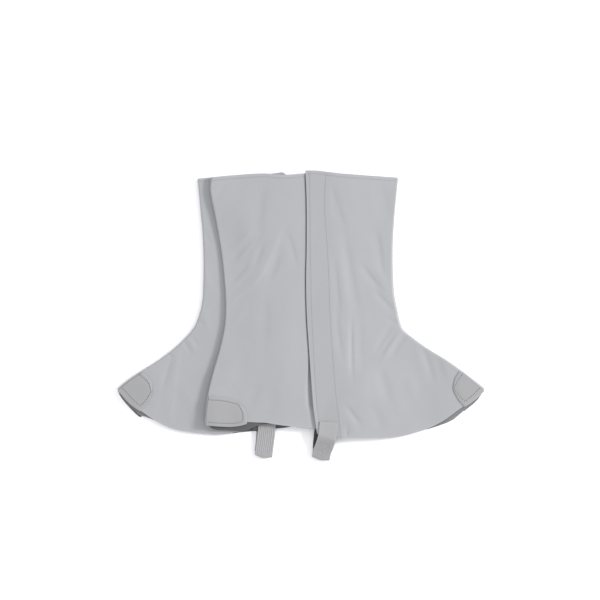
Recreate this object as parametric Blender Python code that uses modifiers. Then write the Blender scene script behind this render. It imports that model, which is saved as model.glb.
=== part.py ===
"""A pair of leg gaiters lying flat, the upper one across the lower one.

Each gaiter is a short tube of soft leather with a plain side and a closure side, sewn together
along the heel edge and the instep edge. On the closure side the toe panel's flap lies over the
heel panel's underlap, with hook tape and loop tape between them. Patches cover the toe and heel
corners, and a strap runs from the flap to the plain side's hem. The upper gaiter lies with its
closure side up. The lower one is the mirror image, and lies with its closure side down.

Tables and sizes are in millimetres. Each gaiter is described with its toe at +X and its top edge
at +Y, and the lower one is then turned over across the Y axis. The origin is on the surface that
the pair lies on, under the middle of the pair.
"""
import math
from collections import namedtuple

import bmesh
import bpy
from mathutils import Vector

MM = 0.001
COLLECTION = "gaiters"

# Thicknesses, and the gap between pieces that touch
CLOTH = 1.0
TRIM = 1.0
GAP = 0.3
STEP = CLOTH / 2 + GAP + TRIM / 2
SEAM_OPENING = 0.5
TURN_STEP = 30.0

# Short spans over which the direction of an edge and of a hem are read, and the tries that find
# where a patch's border meets its side edge
EDGE_SPAN = 0.01
HEM_SPAN = 0.5
EDGE_TRIES = 200

# Closure: the flap's width over the underlap, the tapes between them, and the ramps beside it
OVERLAP = 24.0
TAPE_EDGES = (2.0, 22.0)
RAMP = 20.0
CLOSURE_TOP = 156.0
CLOSURE_HEM = -129.0
TAPE_SHARES = (0.03, 0.885)
STRAP_ZONE = (-97.0, -106.0)

# Straps
STRAP_WIDTH = 20.0
ELASTIC_WIDTH = 19.4

# Patches: how far they turn over the hem, and the room that the layers leave for them
PATCH_REACH = 2.5
PATCH_LIP = 0.9
PATCH_MARGIN = 0.3
TOE_ROOM = (45.0, 70.0)
HEEL_ROOM = (48.0, 70.0)
TOP_RAISE = {"toe": 0.6, "heel": 0.1}

# How the upper gaiter lies on the lower one and falls to the surface beyond it
OVER_LOWER = 5.0
TOP_FOLLOW = 0.4
HEEL_FALL = (10.0, 35.0)
HEM_FALL = (5.0, 30.0)
OVER_HEEL_PATCH = 1.2
LOWER_TURN = -11.8
MIDDLE = (-0.36, -0.17)

# Shares of the way down a gaiter at which it has a section, and of the way across each part
ROWS = (0.0, 0.05, 0.12, 0.2, 0.3, 0.4, 0.5, 0.56, 0.6, 0.64, 0.71, 0.8, 0.885, 0.92, 0.95, 1.0)
HEEL_SHARES = (0.0, 0.17, 0.34, 0.48, 0.62, 0.8, 1.0)
TOE_SHARES = (0.0, 0.2, 0.4, 0.6, 0.8, 1.0)
PATCH_CELLS = 5

Edge = namedtuple("Edge", "share x y")
Step = namedtuple("Step", "share value")
Line = namedtuple("Line", "x y")
Level = namedtuple("Level", "body tape strap")
Sewn = namedtuple("Sewn", "x y turn")
Station = namedtuple("Station", "x y z turn")
Crease = namedtuple("Crease", "x0 y0 x1 y1 half_width height")
Gaiter = namedtuple("Gaiter", "name heel instep flap tops hems levels seams borders creases")
Paint = namedtuple("Paint", "red green blue roughness")

HEEL_EDGE = (
    Edge(0.0, -96.8, 152.6),
    Edge(0.045, -98.2, 140.5),
    Edge(0.09, -96.5, 127.3),
    Edge(0.15, -93.2, 111.9),
    Edge(0.3, -86.0, 71.2),
    Edge(0.45, -81.8, 30.5),
    Edge(0.53, -81.1, 8.5),
    Edge(0.6, -82.2, -10.2),
    Edge(0.7, -87.7, -36.6),
    Edge(0.8, -95.4, -64.1),
    Edge(0.9, -101.4, -90.5),
    Edge(1.0, -104.2, -118.0),
)

UPPER_INSTEP = (
    Edge(0.0, 105.9, 152.2),
    Edge(0.15, 101.8, 110.8),
    Edge(0.3, 99.9, 69.0),
    Edge(0.45, 101.3, 27.2),
    Edge(0.54, 105.4, 4.1),
    Edge(0.585, 108.5, -9.2),
    Edge(0.6, 111.4, -15.7),
    Edge(0.62, 116.7, -21.0),
    Edge(0.7, 136.2, -35.5),
    Edge(0.8, 159.8, -50.2),
    Edge(0.9, 181.8, -65.8),
    Edge(1.0, 202.0, -81.7),
)

LOWER_INSTEP = (
    Edge(0.0, 102.0, 151.2),
    Edge(0.13, 98.9, 117.8),
    Edge(0.2, 96.9, 97.4),
    Edge(0.3, 95.5, 70.1),
    Edge(0.42, 95.5, 37.7),
    Edge(0.515, 97.4, 11.8),
    Edge(0.585, 103.4, -8.0),
    Edge(0.61, 107.8, -15.7),
    Edge(0.64, 115.5, -24.5),
    Edge(0.69, 126.5, -35.0),
    Edge(0.78, 145.2, -49.3),
    Edge(0.88, 166.1, -62.5),
    Edge(0.94, 178.2, -70.7),
    Edge(1.0, 190.5, -80.6),
)

UPPER_FLAP = (
    Line(5.1, 158.0),
    Line(6.4, 125.1),
    Line(6.4, 72.3),
    Line(5.8, 39.3),
    Line(6.6, 0.8),
    Line(9.1, -37.7),
    Line(12.2, -81.7),
    Line(14.1, -103.7),
    Line(17.9, -129.7),
)

LOWER_FLAP = (
    Line(5.8, 158.0),
    Line(5.4, 17.3),
    Line(8.9, -59.7),
    Line(12.4, -94.9),
    Line(17.9, -129.7),
)

HEEL_PANEL_TOP = (
    Line(-96.8, 152.6),
    Line(-77.8, 153.9),
    Line(-42.6, 155.9),
    Line(-17.3, 154.2),
    Line(5.3, 156.0),
    Line(32.2, 155.9),
)

TOE_PANEL_TOP = (
    Line(5.0, 159.4),
    Line(18.8, 159.2),
    Line(28.8, 157.9),
    Line(44.0, 156.2),
    Line(69.3, 154.4),
    Line(106.4, 152.2),
)

PLAIN_TOP = (
    Line(-96.8, 152.0),
    Line(-42.6, 154.0),
    Line(5.3, 155.5),
    Line(30.8, 155.9),
    Line(85.0, 152.8),
    Line(106.4, 151.2),
)

UPPER_HEMS = {
    "heel_panel": (
        Line(-104.2, -118.0),
        Line(-59.2, -117.3),
        Line(-47.4, -117.0),
        Line(-38.1, -117.5),
        Line(-26.3, -119.6),
        Line(-8.7, -121.9),
        Line(11.9, -124.1),
        Line(48.7, -125.7),
    ),
    "toe_panel": (
        Line(17.9, -129.7),
        Line(42.8, -133.1),
        Line(85.0, -134.2),
        Line(97.9, -133.7),
        Line(114.4, -131.9),
        Line(126.1, -128.9),
        Line(137.8, -125.4),
        Line(149.6, -120.1),
        Line(161.3, -113.1),
        Line(173.0, -104.3),
        Line(191.5, -91.6),
        Line(202.0, -81.7),
    ),
    "inner_panel": (
        Line(-104.2, -118.0),
        Line(-95.8, -124.2),
        Line(-83.3, -125.5),
        Line(-60.2, -126.0),
        Line(-48.1, -121.3),
        Line(-33.8, -119.1),
        Line(-0.8, -119.1),
        Line(32.2, -122.4),
        Line(65.2, -125.2),
        Line(109.2, -126.8),
        Line(137.8, -125.7),
        Line(147.4, -123.2),
        Line(157.6, -119.6),
        Line(167.9, -115.0),
        Line(178.2, -106.3),
        Line(193.6, -93.4),
        Line(202.0, -81.7),
    ),
}

LOWER_HEMS = {
    "heel_panel": (
        Line(-104.2, -118.0),
        Line(-60.5, -118.0),
        Line(-33.0, -119.1),
        Line(-3.3, -121.9),
        Line(5.5, -123.5),
        Line(36.3, -125.7),
        Line(48.7, -126.0),
    ),
    "toe_panel": (
        Line(15.4, -127.2),
        Line(36.3, -127.1),
        Line(53.1, -128.4),
        Line(66.0, -130.1),
        Line(82.5, -129.6),
        Line(115.5, -125.7),
        Line(143.0, -119.1),
        Line(156.6, -113.9),
        Line(165.4, -111.2),
        Line(170.7, -107.3),
        Line(180.4, -98.0),
        Line(187.4, -89.2),
        Line(190.5, -80.6),
    ),
    "inner_panel": (
        Line(-104.2, -118.0),
        Line(-60.5, -117.6),
        Line(0.0, -116.9),
        Line(28.6, -116.9),
        Line(35.2, -119.1),
        Line(41.8, -122.4),
        Line(48.4, -126.3),
        Line(60.5, -128.5),
        Line(67.1, -130.1),
        Line(82.5, -131.0),
        Line(93.5, -130.1),
        Line(104.5, -129.0),
        Line(126.5, -125.2),
        Line(145.2, -117.5),
        Line(165.0, -104.3),
        Line(176.0, -96.0),
        Line(187.0, -83.9),
        Line(190.5, -80.6),
    ),
}

# Heights of each layer's middle above what the gaiter lies on: in the body, between the closure
# tapes, and beside the strap's sewn ends
UPPER_LEVELS = {
    "inner_panel": Level(0.5, 0.5, 0.5),
    "heel_panel": Level(4.1, 1.9, 3.1),
    "toe_panel": Level(4.1, 5.8, 5.8),
}

LOWER_LEVELS = {
    "toe_panel": Level(0.5, 0.5, 1.8),
    "heel_panel": Level(0.5, 4.4, 3.1),
    "inner_panel": Level(3.7, 5.7, 5.7),
}

# Where each seam lies round the folded edge, in degrees above the edge's middle
UPPER_SEAMS = {"heel": 56.0, "instep": -56.0}
LOWER_SEAMS = {"heel": -56.0, "instep": -56.0}

TOE_BORDER = (
    Line(173.6, -61.9),
    Line(169.2, -69.7),
    Line(167.9, -77.4),
    Line(168.6, -82.6),
    Line(173.0, -90.3),
    Line(179.4, -97.0),
)

LOWER_TOE_BORDER = (
    Line(162.8, -61.5),
    Line(154.0, -70.0),
    Line(151.9, -79.5),
    Line(152.7, -87.2),
    Line(156.5, -94.9),
    Line(164.2, -103.6),
)

HEEL_BORDER = (
    Line(-100.3, -88.1),
    Line(-87.7, -89.2),
    Line(-76.1, -92.0),
    Line(-67.9, -96.6),
    Line(-62.9, -102.1),
    Line(-59.6, -108.1),
    Line(-59.1, -117.6),
)

# The largest soft folds: each a straight run, its half width, and its height above the cloth
UPPER_CREASES = (
    Crease(-40.0, 135.0, -46.0, 62.0, 17.0, -0.9),
    Crease(-26.0, 84.0, -52.0, 40.0, 13.0, 0.8),
    Crease(-28.0, 66.0, -44.0, 30.0, 12.0, -0.7),
    Crease(36.0, 142.0, 52.0, 96.0, 15.0, -0.7),
    Crease(88.0, 88.0, 96.0, 46.0, 14.0, -0.8),
    Crease(76.0, 52.0, 98.0, 14.0, 13.0, -0.7),
    Crease(104.0, -18.0, 92.0, -44.0, 11.0, 1.0),
    Crease(138.0, -40.0, 150.0, -62.0, 12.0, -0.7),
    Crease(57.0, -18.0, 58.0, -66.0, 10.0, -0.6),
)

LOWER_CREASES = (
    Crease(116.0, -10.0, 100.0, -34.0, 14.0, -0.7),
    Crease(132.0, -44.0, 124.0, -66.0, 13.0, 0.7),
)

UPPER = Gaiter(
    "upper",
    HEEL_EDGE,
    UPPER_INSTEP,
    UPPER_FLAP,
    {"heel_panel": HEEL_PANEL_TOP, "toe_panel": TOE_PANEL_TOP, "inner_panel": PLAIN_TOP},
    UPPER_HEMS,
    UPPER_LEVELS,
    UPPER_SEAMS,
    {"toe": TOE_BORDER, "heel": HEEL_BORDER},
    UPPER_CREASES,
)

LOWER = Gaiter(
    "lower",
    HEEL_EDGE,
    LOWER_INSTEP,
    LOWER_FLAP,
    {"heel_panel": HEEL_PANEL_TOP, "toe_panel": TOE_PANEL_TOP, "inner_panel": PLAIN_TOP},
    LOWER_HEMS,
    LOWER_LEVELS,
    LOWER_SEAMS,
    {"toe": LOWER_TOE_BORDER, "heel": HEEL_BORDER},
    LOWER_CREASES,
)

# Straps: the middle of each band where it is sewn on its panel and then where it lies free, with
# its turn in degrees, clockwise from above
UPPER_TAPE_SEWN = (
    Sewn(30.9, -116.6, 4.0),
    Sewn(30.2, -124.0, 9.0),
    Sewn(29.0, -133.0, 16.0),
)
UPPER_TAPE = (
    Station(27.9, -137.5, 10.2, 17.0),
    Station(27.0, -140.5, 8.6, 17.5),
    Station(25.3, -145.5, 6.5, 17.5),
    Station(23.6, -150.0, 4.9, 15.0),
    Station(22.4, -154.0, 4.0, 13.0),
    Station(21.9, -156.4, 3.5, 13.0),
    Station(21.8, -157.0, 2.8, 13.0),
    Station(21.9, -156.4, 2.1, 13.0),
    Station(22.4, -154.4, 1.8, 12.5),
    Station(23.2, -148.5, 1.8, 11.0),
)

UPPER_ELASTIC_SEWN = (
    Sewn(25.6, -107.5, 1.0),
    Sewn(25.4, -115.0, 2.0),
    Sewn(25.3, -121.5, 3.0),
)
UPPER_ELASTIC = (
    Station(24.7, -127.5, 6.0, 4.5),
    Station(24.0, -134.0, 3.9, 6.0),
    Station(23.4, -140.0, 1.6, 8.0),
    Station(23.1, -144.5, 0.5, 9.5),
    Station(22.8, -149.0, 0.5, 11.0),
    Station(22.5, -154.0, 0.5, 12.5),
)

LOWER_ELASTIC_SEWN = (
    Sewn(-35.8, -107.5, 5.0),
    Sewn(-36.7, -116.5, 6.5),
)
LOWER_ELASTIC = (
    Station(-38.1, -131.0, 4.4, 6.8),
    Station(-39.5, -142.0, 3.9, 6.8),
    Station(-40.6, -150.0, 3.6, 7.5),
    Station(-41.1, -153.8, 3.3, 8.0),
    Station(-41.2, -154.6, 2.6, 8.0),
    Station(-41.1, -153.8, 1.95, 8.0),
    Station(-40.9, -151.8, 1.8, 8.0),
    Station(-40.3, -145.5, 1.8, 7.0),
)

LOWER_TAPE_SEWN = (
    Sewn(-42.7, -116.6, 2.0),
    Sewn(-42.3, -125.0, 3.0),
)
LOWER_TAPE = (
    Station(-42.0, -130.0, 0.5, 4.0),
    Station(-41.3, -142.0, 0.5, 6.5),
    Station(-41.0, -151.5, 0.5, 8.0),
)
STATIONS_BETWEEN = 2

# A crease's height follows a cosine that is this many times as long as the crease
CREASE_FADE = 1.4

PAINTS = {
    "panel": Paint(0.475, 0.479, 0.504, 0.55),
    "patch": Paint(0.430, 0.434, 0.445, 0.6),
    "closure_tape": Paint(0.50, 0.50, 0.52, 0.9),
    "strap_tape": Paint(0.485, 0.485, 0.51, 0.75),
    "strap_elastic": Paint(0.365, 0.365, 0.38, 0.85),
}


# Curves and blends

def mix(first, second, share):
    """Return the value that lies a share of the way from one value to another."""
    return first + (second - first) * share


def ease(value, start, end):
    """Rise smoothly from 0 at start to 1 at end."""
    share = min(max((value - start) / (end - start), 0.0), 1.0)
    return share * share * (3.0 - 2.0 * share)


def read(rows, key, column, where):
    """Read a column of a table at a key, on a smooth curve through its rows."""
    if getattr(rows[0], key) > getattr(rows[-1], key):
        rows = rows[::-1]
    keys = [getattr(row, key) for row in rows]
    values = [getattr(row, column) for row in rows]
    where = min(max(where, keys[0]), keys[-1])
    low = 0
    while low < len(keys) - 2 and keys[low + 1] < where:
        low += 1
    span = keys[low + 1] - keys[low]
    share = (where - keys[low]) / span
    slopes = []
    for index in (low, low + 1):
        before = max(index - 1, 0)
        after = min(index + 1, len(keys) - 1)
        slopes.append((values[after] - values[before]) / (keys[after] - keys[before]))
    square = share * share
    cube = square * share
    return (
        values[low] * (2.0 * cube - 3.0 * square + 1.0)
        + values[low + 1] * (3.0 * square - 2.0 * cube)
        + slopes[0] * span * (cube - 2.0 * square + share)
        + slopes[1] * span * (cube - square)
    )


def along(rows, column, share):
    """Read a column a share of the way along evenly spaced rows, on a smooth curve."""
    steps = [
        Step(index / (len(rows) - 1), getattr(row, column))
        for index, row in enumerate(rows)
    ]
    return read(steps, "share", "value", share)


def border_point(border, share):
    return Vector((along(border, "x", share), along(border, "y", share)))


# Heights of the layers

def flap_edge(gaiter, y):
    return read(gaiter.flap, "y", "x", y)


def closure_share(gaiter, x, y):
    """Return 1 over the closure and 0 well beside it."""
    reach = x - flap_edge(gaiter, y)
    return ease(reach, -RAMP, 0.0) * (1.0 - ease(reach, OVERLAP, OVERLAP + RAMP))


def corner_share(x, y, corner, room):
    """Return 1 at a corner that has patches and 0 well away from it."""
    distance = math.hypot(x - corner.x, y - corner.y)
    return 1.0 - ease(distance, room[0], room[1])


def patch_shares(gaiter, x, y):
    """Return how far a point is under or over the toe patches and the heel patches."""
    toe = corner_share(x, y, gaiter.instep[-1], TOE_ROOM)
    heel = corner_share(x, y, gaiter.heel[-1], HEEL_ROOM)
    return toe, heel


def crease_height(gaiter, x, y):
    """Add up the soft folds at a point: each fades along its run and to its sides."""
    height = 0.0
    for crease in gaiter.creases:
        run = Vector((crease.x1 - crease.x0, crease.y1 - crease.y0))
        offset = Vector((x - crease.x0, y - crease.y0))
        place = offset.dot(run) / run.length_squared
        side = abs(offset.x * run.y - offset.y * run.x) / run.length / crease.half_width
        fade = math.cos(math.pi * (place - 0.5) / CREASE_FADE)
        if side < 1.0 and abs(place - 0.5) < CREASE_FADE / 2:
            height += crease.height * fade * (1.0 + math.cos(math.pi * side)) / 2.0
    return height


def is_top(gaiter, panel):
    """Say whether a panel is on the side that faces up."""
    return gaiter.levels[panel].body > CLOTH


def floor_height(x, y, follow):
    """Height of what the upper gaiter lies on: the lower gaiter, then the bare surface.

    The top layer follows only a share of the lower gaiter's closure."""
    mirrored = LOWER_TURN - x
    heel = LOWER_TURN - read(HEEL_EDGE, "y", "x", y)
    hem = min(read(LOWER_HEMS[panel], "x", "y", mirrored) for panel in LOWER_HEMS)
    held = 1.0 - ease(x - heel, HEEL_FALL[0], HEEL_FALL[1])
    held *= 1.0 - ease(hem - y, HEM_FALL[0], HEM_FALL[1])
    plain = LOWER_LEVELS["inner_panel"]
    bump = follow * (plain.tape - plain.body) * closure_share(LOWER, mirrored, y)
    bump += OVER_HEEL_PATCH * corner_share(mirrored, y, HEEL_EDGE[-1], HEEL_ROOM)
    return held * (OVER_LOWER + bump)


def height(gaiter, panel, x, y):
    """Height of a panel's middle at a point, before the folded edges."""
    level = gaiter.levels[panel]
    strap = ease(-y, -STRAP_ZONE[0], -STRAP_ZONE[1])
    closure = closure_share(gaiter, x, y)
    toe, heel = patch_shares(gaiter, x, y)
    result = mix(level.body, mix(level.tape, level.strap, strap), closure)
    top = is_top(gaiter, panel)
    if top:
        result += toe * TOP_RAISE["toe"] + heel * TOP_RAISE["heel"]
        result += crease_height(gaiter, x, y) * (1.0 - closure) * (1.0 - toe) * (1.0 - heel)
    else:
        result += (toe + heel) * STEP
    if gaiter is UPPER:
        result += floor_height(x, y, TOP_FOLLOW if top else 1.0)
    return result


# Plan of a panel

def edge_frame(gaiter, side, share):
    """Return a point of a side edge and the direction that leads out of the gaiter there."""
    rows = gaiter.heel if side == "heel" else gaiter.instep
    before = max(share - EDGE_SPAN, 0.0)
    after = min(share + EDGE_SPAN, 1.0)
    point = Vector((read(rows, "share", "x", share), read(rows, "share", "y", share)))
    start = Vector((read(rows, "share", "x", before), read(rows, "share", "y", before)))
    end = Vector((read(rows, "share", "x", after), read(rows, "share", "y", after)))
    run = (end - start).normalized()
    outward = Vector((run.y, -run.x))
    return point, -outward if side == "instep" else outward


def edge_turn(gaiter, side, share):
    """Return the folded edge's centre, outward direction, middle height and radius."""
    point, outward = edge_frame(gaiter, side, share)
    closure_panel = "heel_panel" if side == "heel" else "toe_panel"
    inner = height(gaiter, "inner_panel", point.x, point.y)
    closure = height(gaiter, closure_panel, point.x, point.y)
    radius = abs(inner - closure) / 2.0
    centre = point - outward * (CLOTH / 2 + radius)
    return centre, outward, (inner + closure) / 2.0, radius


def turned_point(gaiter, side, share, angle):
    """Return the point of the folded edge at an angle above its middle."""
    centre, outward, level, radius = edge_turn(gaiter, side, share)
    reach = radius * math.cos(math.radians(angle))
    point = centre + outward * reach
    return (point.x, point.y, level + radius * math.sin(math.radians(angle)))


def turn_shares(gaiter, panel, side):
    """Return the shares of a panel's turn, from its flat part to the seam."""
    seam = gaiter.seams[side]
    length = 90.0 - seam if is_top(gaiter, panel) else 90.0 + seam
    steps = math.ceil(length / TURN_STEP)
    return [(step + 1) / steps for step in range(steps)]


def turn_angle(gaiter, panel, side, share, step):
    """Return the angle of a step of a panel's turn, which stops short of the seam."""
    radius = edge_turn(gaiter, side, share)[3]
    opening = math.degrees(SEAM_OPENING / 2 / (radius - CLOTH / 2))
    seam = gaiter.seams[side]
    if is_top(gaiter, panel):
        return mix(90.0, seam + opening, step)
    return mix(-90.0, seam - opening, step)


def closure_line(gaiter, panel, reach, share):
    """Return a point of the line that runs down the closure at a distance from the flap's edge."""
    y = mix(CLOSURE_TOP, CLOSURE_HEM, share)
    x = flap_edge(gaiter, y) + reach
    if share == 0.0:
        y = read(gaiter.tops[panel], "x", "y", x)
    if share == 1.0:
        y = read(gaiter.hems[panel], "x", "y", x)
    return Vector((x, y))


def part_point(gaiter, panel, left, right, across, share):
    """Return a point of the cloth between two lines, under its top edge and over its hem."""
    point = left(share).lerp(right(share), across)
    lifts = []
    for end, table in ((0.0, gaiter.tops[panel]), (1.0, gaiter.hems[panel])):
        ends = (left(end), right(end))
        place = ends[0].lerp(ends[1], across)
        misses = [read(table, "x", "y", spot.x) - spot.y for spot in (ends[0], ends[1], place)]
        lifts.append(misses[2] - mix(misses[0], misses[1], across))
    point.y += lifts[0] * (1.0 - share) + lifts[1] * share * share
    return point


def side_line(gaiter, side):
    return lambda share: edge_turn(gaiter, side, share)[0]


def closure_edge(gaiter, panel, reach):
    return lambda share: closure_line(gaiter, panel, reach, share)


def panel_section(gaiter, panel, share):
    """Return one row of a panel's points, from its heel end to its toe end."""
    row = []
    if panel != "toe_panel":
        for step in reversed(turn_shares(gaiter, panel, "heel")):
            angle = turn_angle(gaiter, panel, "heel", share, step)
            row.append(turned_point(gaiter, "heel", share, angle))
        left = side_line(gaiter, "heel")
        right = closure_edge(gaiter, panel, -RAMP)
        for across in HEEL_SHARES:
            row.append(part_point(gaiter, panel, left, right, across, share))
    for reach in closure_reaches(panel):
        row.append(closure_line(gaiter, panel, reach, share))
    if panel != "heel_panel":
        left = closure_edge(gaiter, panel, OVERLAP + RAMP)
        right = side_line(gaiter, "instep")
        for across in TOE_SHARES:
            row.append(part_point(gaiter, panel, left, right, across, share))
        for step in turn_shares(gaiter, panel, "instep"):
            angle = turn_angle(gaiter, panel, "instep", share, step)
            row.append(turned_point(gaiter, "instep", share, angle))
    return [raised(gaiter, panel, point) for point in row]


def closure_reaches(panel):
    """Return the distances from the flap's edge at which a panel has a column there."""
    if panel == "heel_panel":
        return (-RAMP / 2, 0.0, TAPE_EDGES[0], TAPE_EDGES[1], OVERLAP)
    if panel == "toe_panel":
        return (0.0, TAPE_EDGES[0], TAPE_EDGES[1], OVERLAP, OVERLAP + RAMP / 2)
    return (-RAMP / 2, 0.0, OVERLAP / 3, OVERLAP * 2 / 3, OVERLAP, OVERLAP + RAMP / 2)


def raised(gaiter, panel, point):
    """Give a plan point its panel's height. A point of a folded edge has its height already."""
    if len(point) == 3:
        return tuple(point)
    return (point.x, point.y, height(gaiter, panel, point.x, point.y))


# Objects

def make_material(name):
    paint = PAINTS[name]
    material = bpy.data.materials.new(name)
    material.use_nodes = True
    shader = material.node_tree.nodes["Principled BSDF"]
    shader.inputs["Base Color"].default_value = (paint.red, paint.green, paint.blue, 1.0)
    shader.inputs["Roughness"].default_value = paint.roughness
    shader.inputs["Metallic"].default_value = 0.0
    return material


def make_cloth(name, sections, thickness, paint):
    """Make a piece of cloth from rows of points through the middle of its thickness."""
    across = len(sections[0]) - 1
    down = len(sections) - 1
    form = bmesh.new()
    bmesh.ops.create_grid(form, x_segments=across, y_segments=down, size=0.5)
    for corner in form.verts:
        column = round((corner.co.x + 0.5) * across)
        row = round((0.5 - corner.co.y) * down)
        x, y, z = sections[row][column]
        corner.co = Vector((x - MIDDLE[0], y - MIDDLE[1], z)) * MM
    mesh = bpy.data.meshes.new(name)
    form.to_mesh(mesh)
    form.free()
    mesh.shade_smooth()
    mesh.materials.append(make_material(paint))
    piece = bpy.data.objects.new(name, mesh)
    bpy.data.collections[COLLECTION].objects.link(piece)
    wall = piece.modifiers.new("wall", "SOLIDIFY")
    wall.thickness = thickness * MM
    wall.offset = 0.0


def placed(gaiter, sections):
    """Turn a gaiter's rows of points over if it is the lower one."""
    if gaiter is UPPER:
        return sections
    return [[(LOWER_TURN - x, y, z) for x, y, z in row] for row in sections]


def make_panel(gaiter, panel):
    sections = [panel_section(gaiter, panel, share) for share in ROWS]
    make_cloth(f"{gaiter.name}_{panel}", placed(gaiter, sections), CLOTH, "panel")


def make_closure_tape(gaiter, name, panel):
    """Make the hook or loop tape on the inner face of the panel that carries it."""
    out = 1.0 if is_top(gaiter, panel) else -1.0
    inward = -out if panel == "toe_panel" else out
    shares = [TAPE_SHARES[0]]
    shares += [share for share in ROWS if TAPE_SHARES[0] < share < TAPE_SHARES[1]]
    shares.append(TAPE_SHARES[1])
    sections = []
    for share in shares:
        row = []
        for reach in TAPE_EDGES:
            point = closure_line(gaiter, panel, reach, share)
            level = height(gaiter, panel, point.x, point.y)
            row.append((point.x, point.y, level + inward * STEP))
        sections.append(row)
    make_cloth(f"{gaiter.name}_{name}", placed(gaiter, sections), TRIM, "closure_tape")


def hem_direction(table, x):
    """Return the direction out of the cloth, square to its hem."""
    rise = read(table, "x", "y", x + HEM_SPAN) - read(table, "x", "y", x - HEM_SPAN)
    return Vector((rise, -2.0 * HEM_SPAN)).normalized()


def make_patch(gaiter, place, panel, layer_name):
    """Make a corner patch from its panel's points, moved out, with a lip over the hem."""
    side = "instep" if place == "toe" else "heel"
    table = gaiter.hems[panel]
    border = gaiter.borders[place]
    out = 1.0 if is_top(gaiter, panel) else -1.0

    def side_point(share):
        centre, outward = edge_turn(gaiter, side, share)[:2]
        return centre - outward * PATCH_MARGIN

    start = min(
        (index / EDGE_TRIES for index in range(EDGE_TRIES // 2, EDGE_TRIES)),
        key=lambda share: (side_point(share) - border_point(border, 0.0)).length,
    )
    tip = side_point(1.0)
    end = border_point(border, 1.0)

    def hem_point(across):
        x = mix(tip.x, end.x, across)
        miss = mix(tip.y - read(table, "x", "y", tip.x), 0.0, across)
        return Vector((x, read(table, "x", "y", x) + miss))

    def side_run(share):
        return side_point(mix(start, 1.0, share))

    def border_end(share):
        return border_point(border, mix(0.5, 1.0, share)) + (hem_point(1.0) - end) * share

    def border_start(share):
        miss = side_run(0.0) - border_point(border, 0.0)
        return border_point(border, share / 2) + miss * (1.0 - share)

    sections = []
    for row_index in range(PATCH_CELLS + 1):
        row_share = row_index / PATCH_CELLS
        row = []
        for column_index in range(PATCH_CELLS + 1):
            share = column_index / PATCH_CELLS
            point = side_run(share).lerp(border_end(share), row_share)
            point += border_start(row_share).lerp(hem_point(row_share), share)
            first = side_run(0.0).lerp(side_run(1.0), share)
            last = border_end(0.0).lerp(border_end(1.0), share)
            point -= first.lerp(last, row_share)
            row.append((point.x, point.y, height(gaiter, panel, point.x, point.y) + out * STEP))
        x, y, z = row[-1]
        lip = hem_direction(table, x) * PATCH_REACH
        row.append((x + lip.x, y + lip.y, z - out * PATCH_LIP))
        sections.append(row)
    name = f"{gaiter.name}_{place}_patch_{layer_name}"
    make_cloth(name, placed(gaiter, sections), TRIM, "patch")


def band_points(x, y, turn, width):
    """Return the plan of a band's left edge, middle and right edge."""
    aside = Vector((math.cos(math.radians(turn)), -math.sin(math.radians(turn)))) * width / 2
    middle = Vector((x, y))
    return (middle - aside, middle, middle + aside)


def sewn_section(gaiter, panel, inside, sewn, width):
    """Return a band's section where it is sewn on a panel's inner or outer face."""
    out = 1.0 if is_top(gaiter, panel) else -1.0
    row = []
    for point in band_points(sewn.x, sewn.y, sewn.turn, width):
        x = point.x if gaiter is UPPER else LOWER_TURN - point.x
        level = height(gaiter, panel, x, point.y) + (-out if inside else out) * STEP
        row.append((point.x, point.y, max(level, TRIM / 2)))
    return row


def make_strap(gaiter, name, panel, stations, width):
    """Make a band from its sewn end, through its free stations with smooth points between."""
    sewn, free = stations
    inside = panel == "inner_panel"
    sections = [sewn_section(gaiter, panel, inside, station, width) for station in sewn]
    steps = STATIONS_BETWEEN * (len(free) - 1)
    for step in range(steps + 1):
        station = Station(*(along(free, column, step / steps) for column in Station._fields))
        level = max(station.z, TRIM / 2)
        spots = band_points(station.x, station.y, station.turn, width)
        sections.append([(spot.x, spot.y, level) for spot in spots])
    make_cloth(f"{gaiter.name}_{name}", sections, TRIM, name)


def make_gaiter(gaiter):
    for panel in ("inner_panel", "heel_panel", "toe_panel"):
        make_panel(gaiter, panel)
    make_closure_tape(gaiter, "hook_tape", "toe_panel")
    make_closure_tape(gaiter, "loop_tape", "heel_panel")
    make_patch(gaiter, "toe", "toe_panel", "outer")
    make_patch(gaiter, "toe", "inner_panel", "inner")
    make_patch(gaiter, "heel", "heel_panel", "outer")
    make_patch(gaiter, "heel", "inner_panel", "inner")


def main():
    for item in list(bpy.data.objects):
        bpy.data.objects.remove(item)
    collection = bpy.data.collections.new(COLLECTION)
    bpy.context.scene.collection.children.link(collection)
    for gaiter in (LOWER, UPPER):
        make_gaiter(gaiter)
    for gaiter, tape, elastic in (
        (LOWER, (LOWER_TAPE_SEWN, LOWER_TAPE), (LOWER_ELASTIC_SEWN, LOWER_ELASTIC)),
        (UPPER, (UPPER_TAPE_SEWN, UPPER_TAPE), (UPPER_ELASTIC_SEWN, UPPER_ELASTIC)),
    ):
        make_strap(gaiter, "strap_tape", "toe_panel", tape, STRAP_WIDTH)
        make_strap(gaiter, "strap_elastic", "inner_panel", elastic, ELASTIC_WIDTH)


main()
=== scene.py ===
"""Looks of the pair of leg gaiters lying flat, the upper one across the lower one.

Tables and sizes are in millimetres, in the plan of the upper gaiter, with the toe at +X and the top
edge at +Y. The lower gaiter is the same plan turned over across the Y axis. Finished points are put
in metres round the middle of the pair.
"""
import math
from collections import namedtuple

import bmesh
import bpy
import numpy as np
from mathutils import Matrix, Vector, noise


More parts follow.
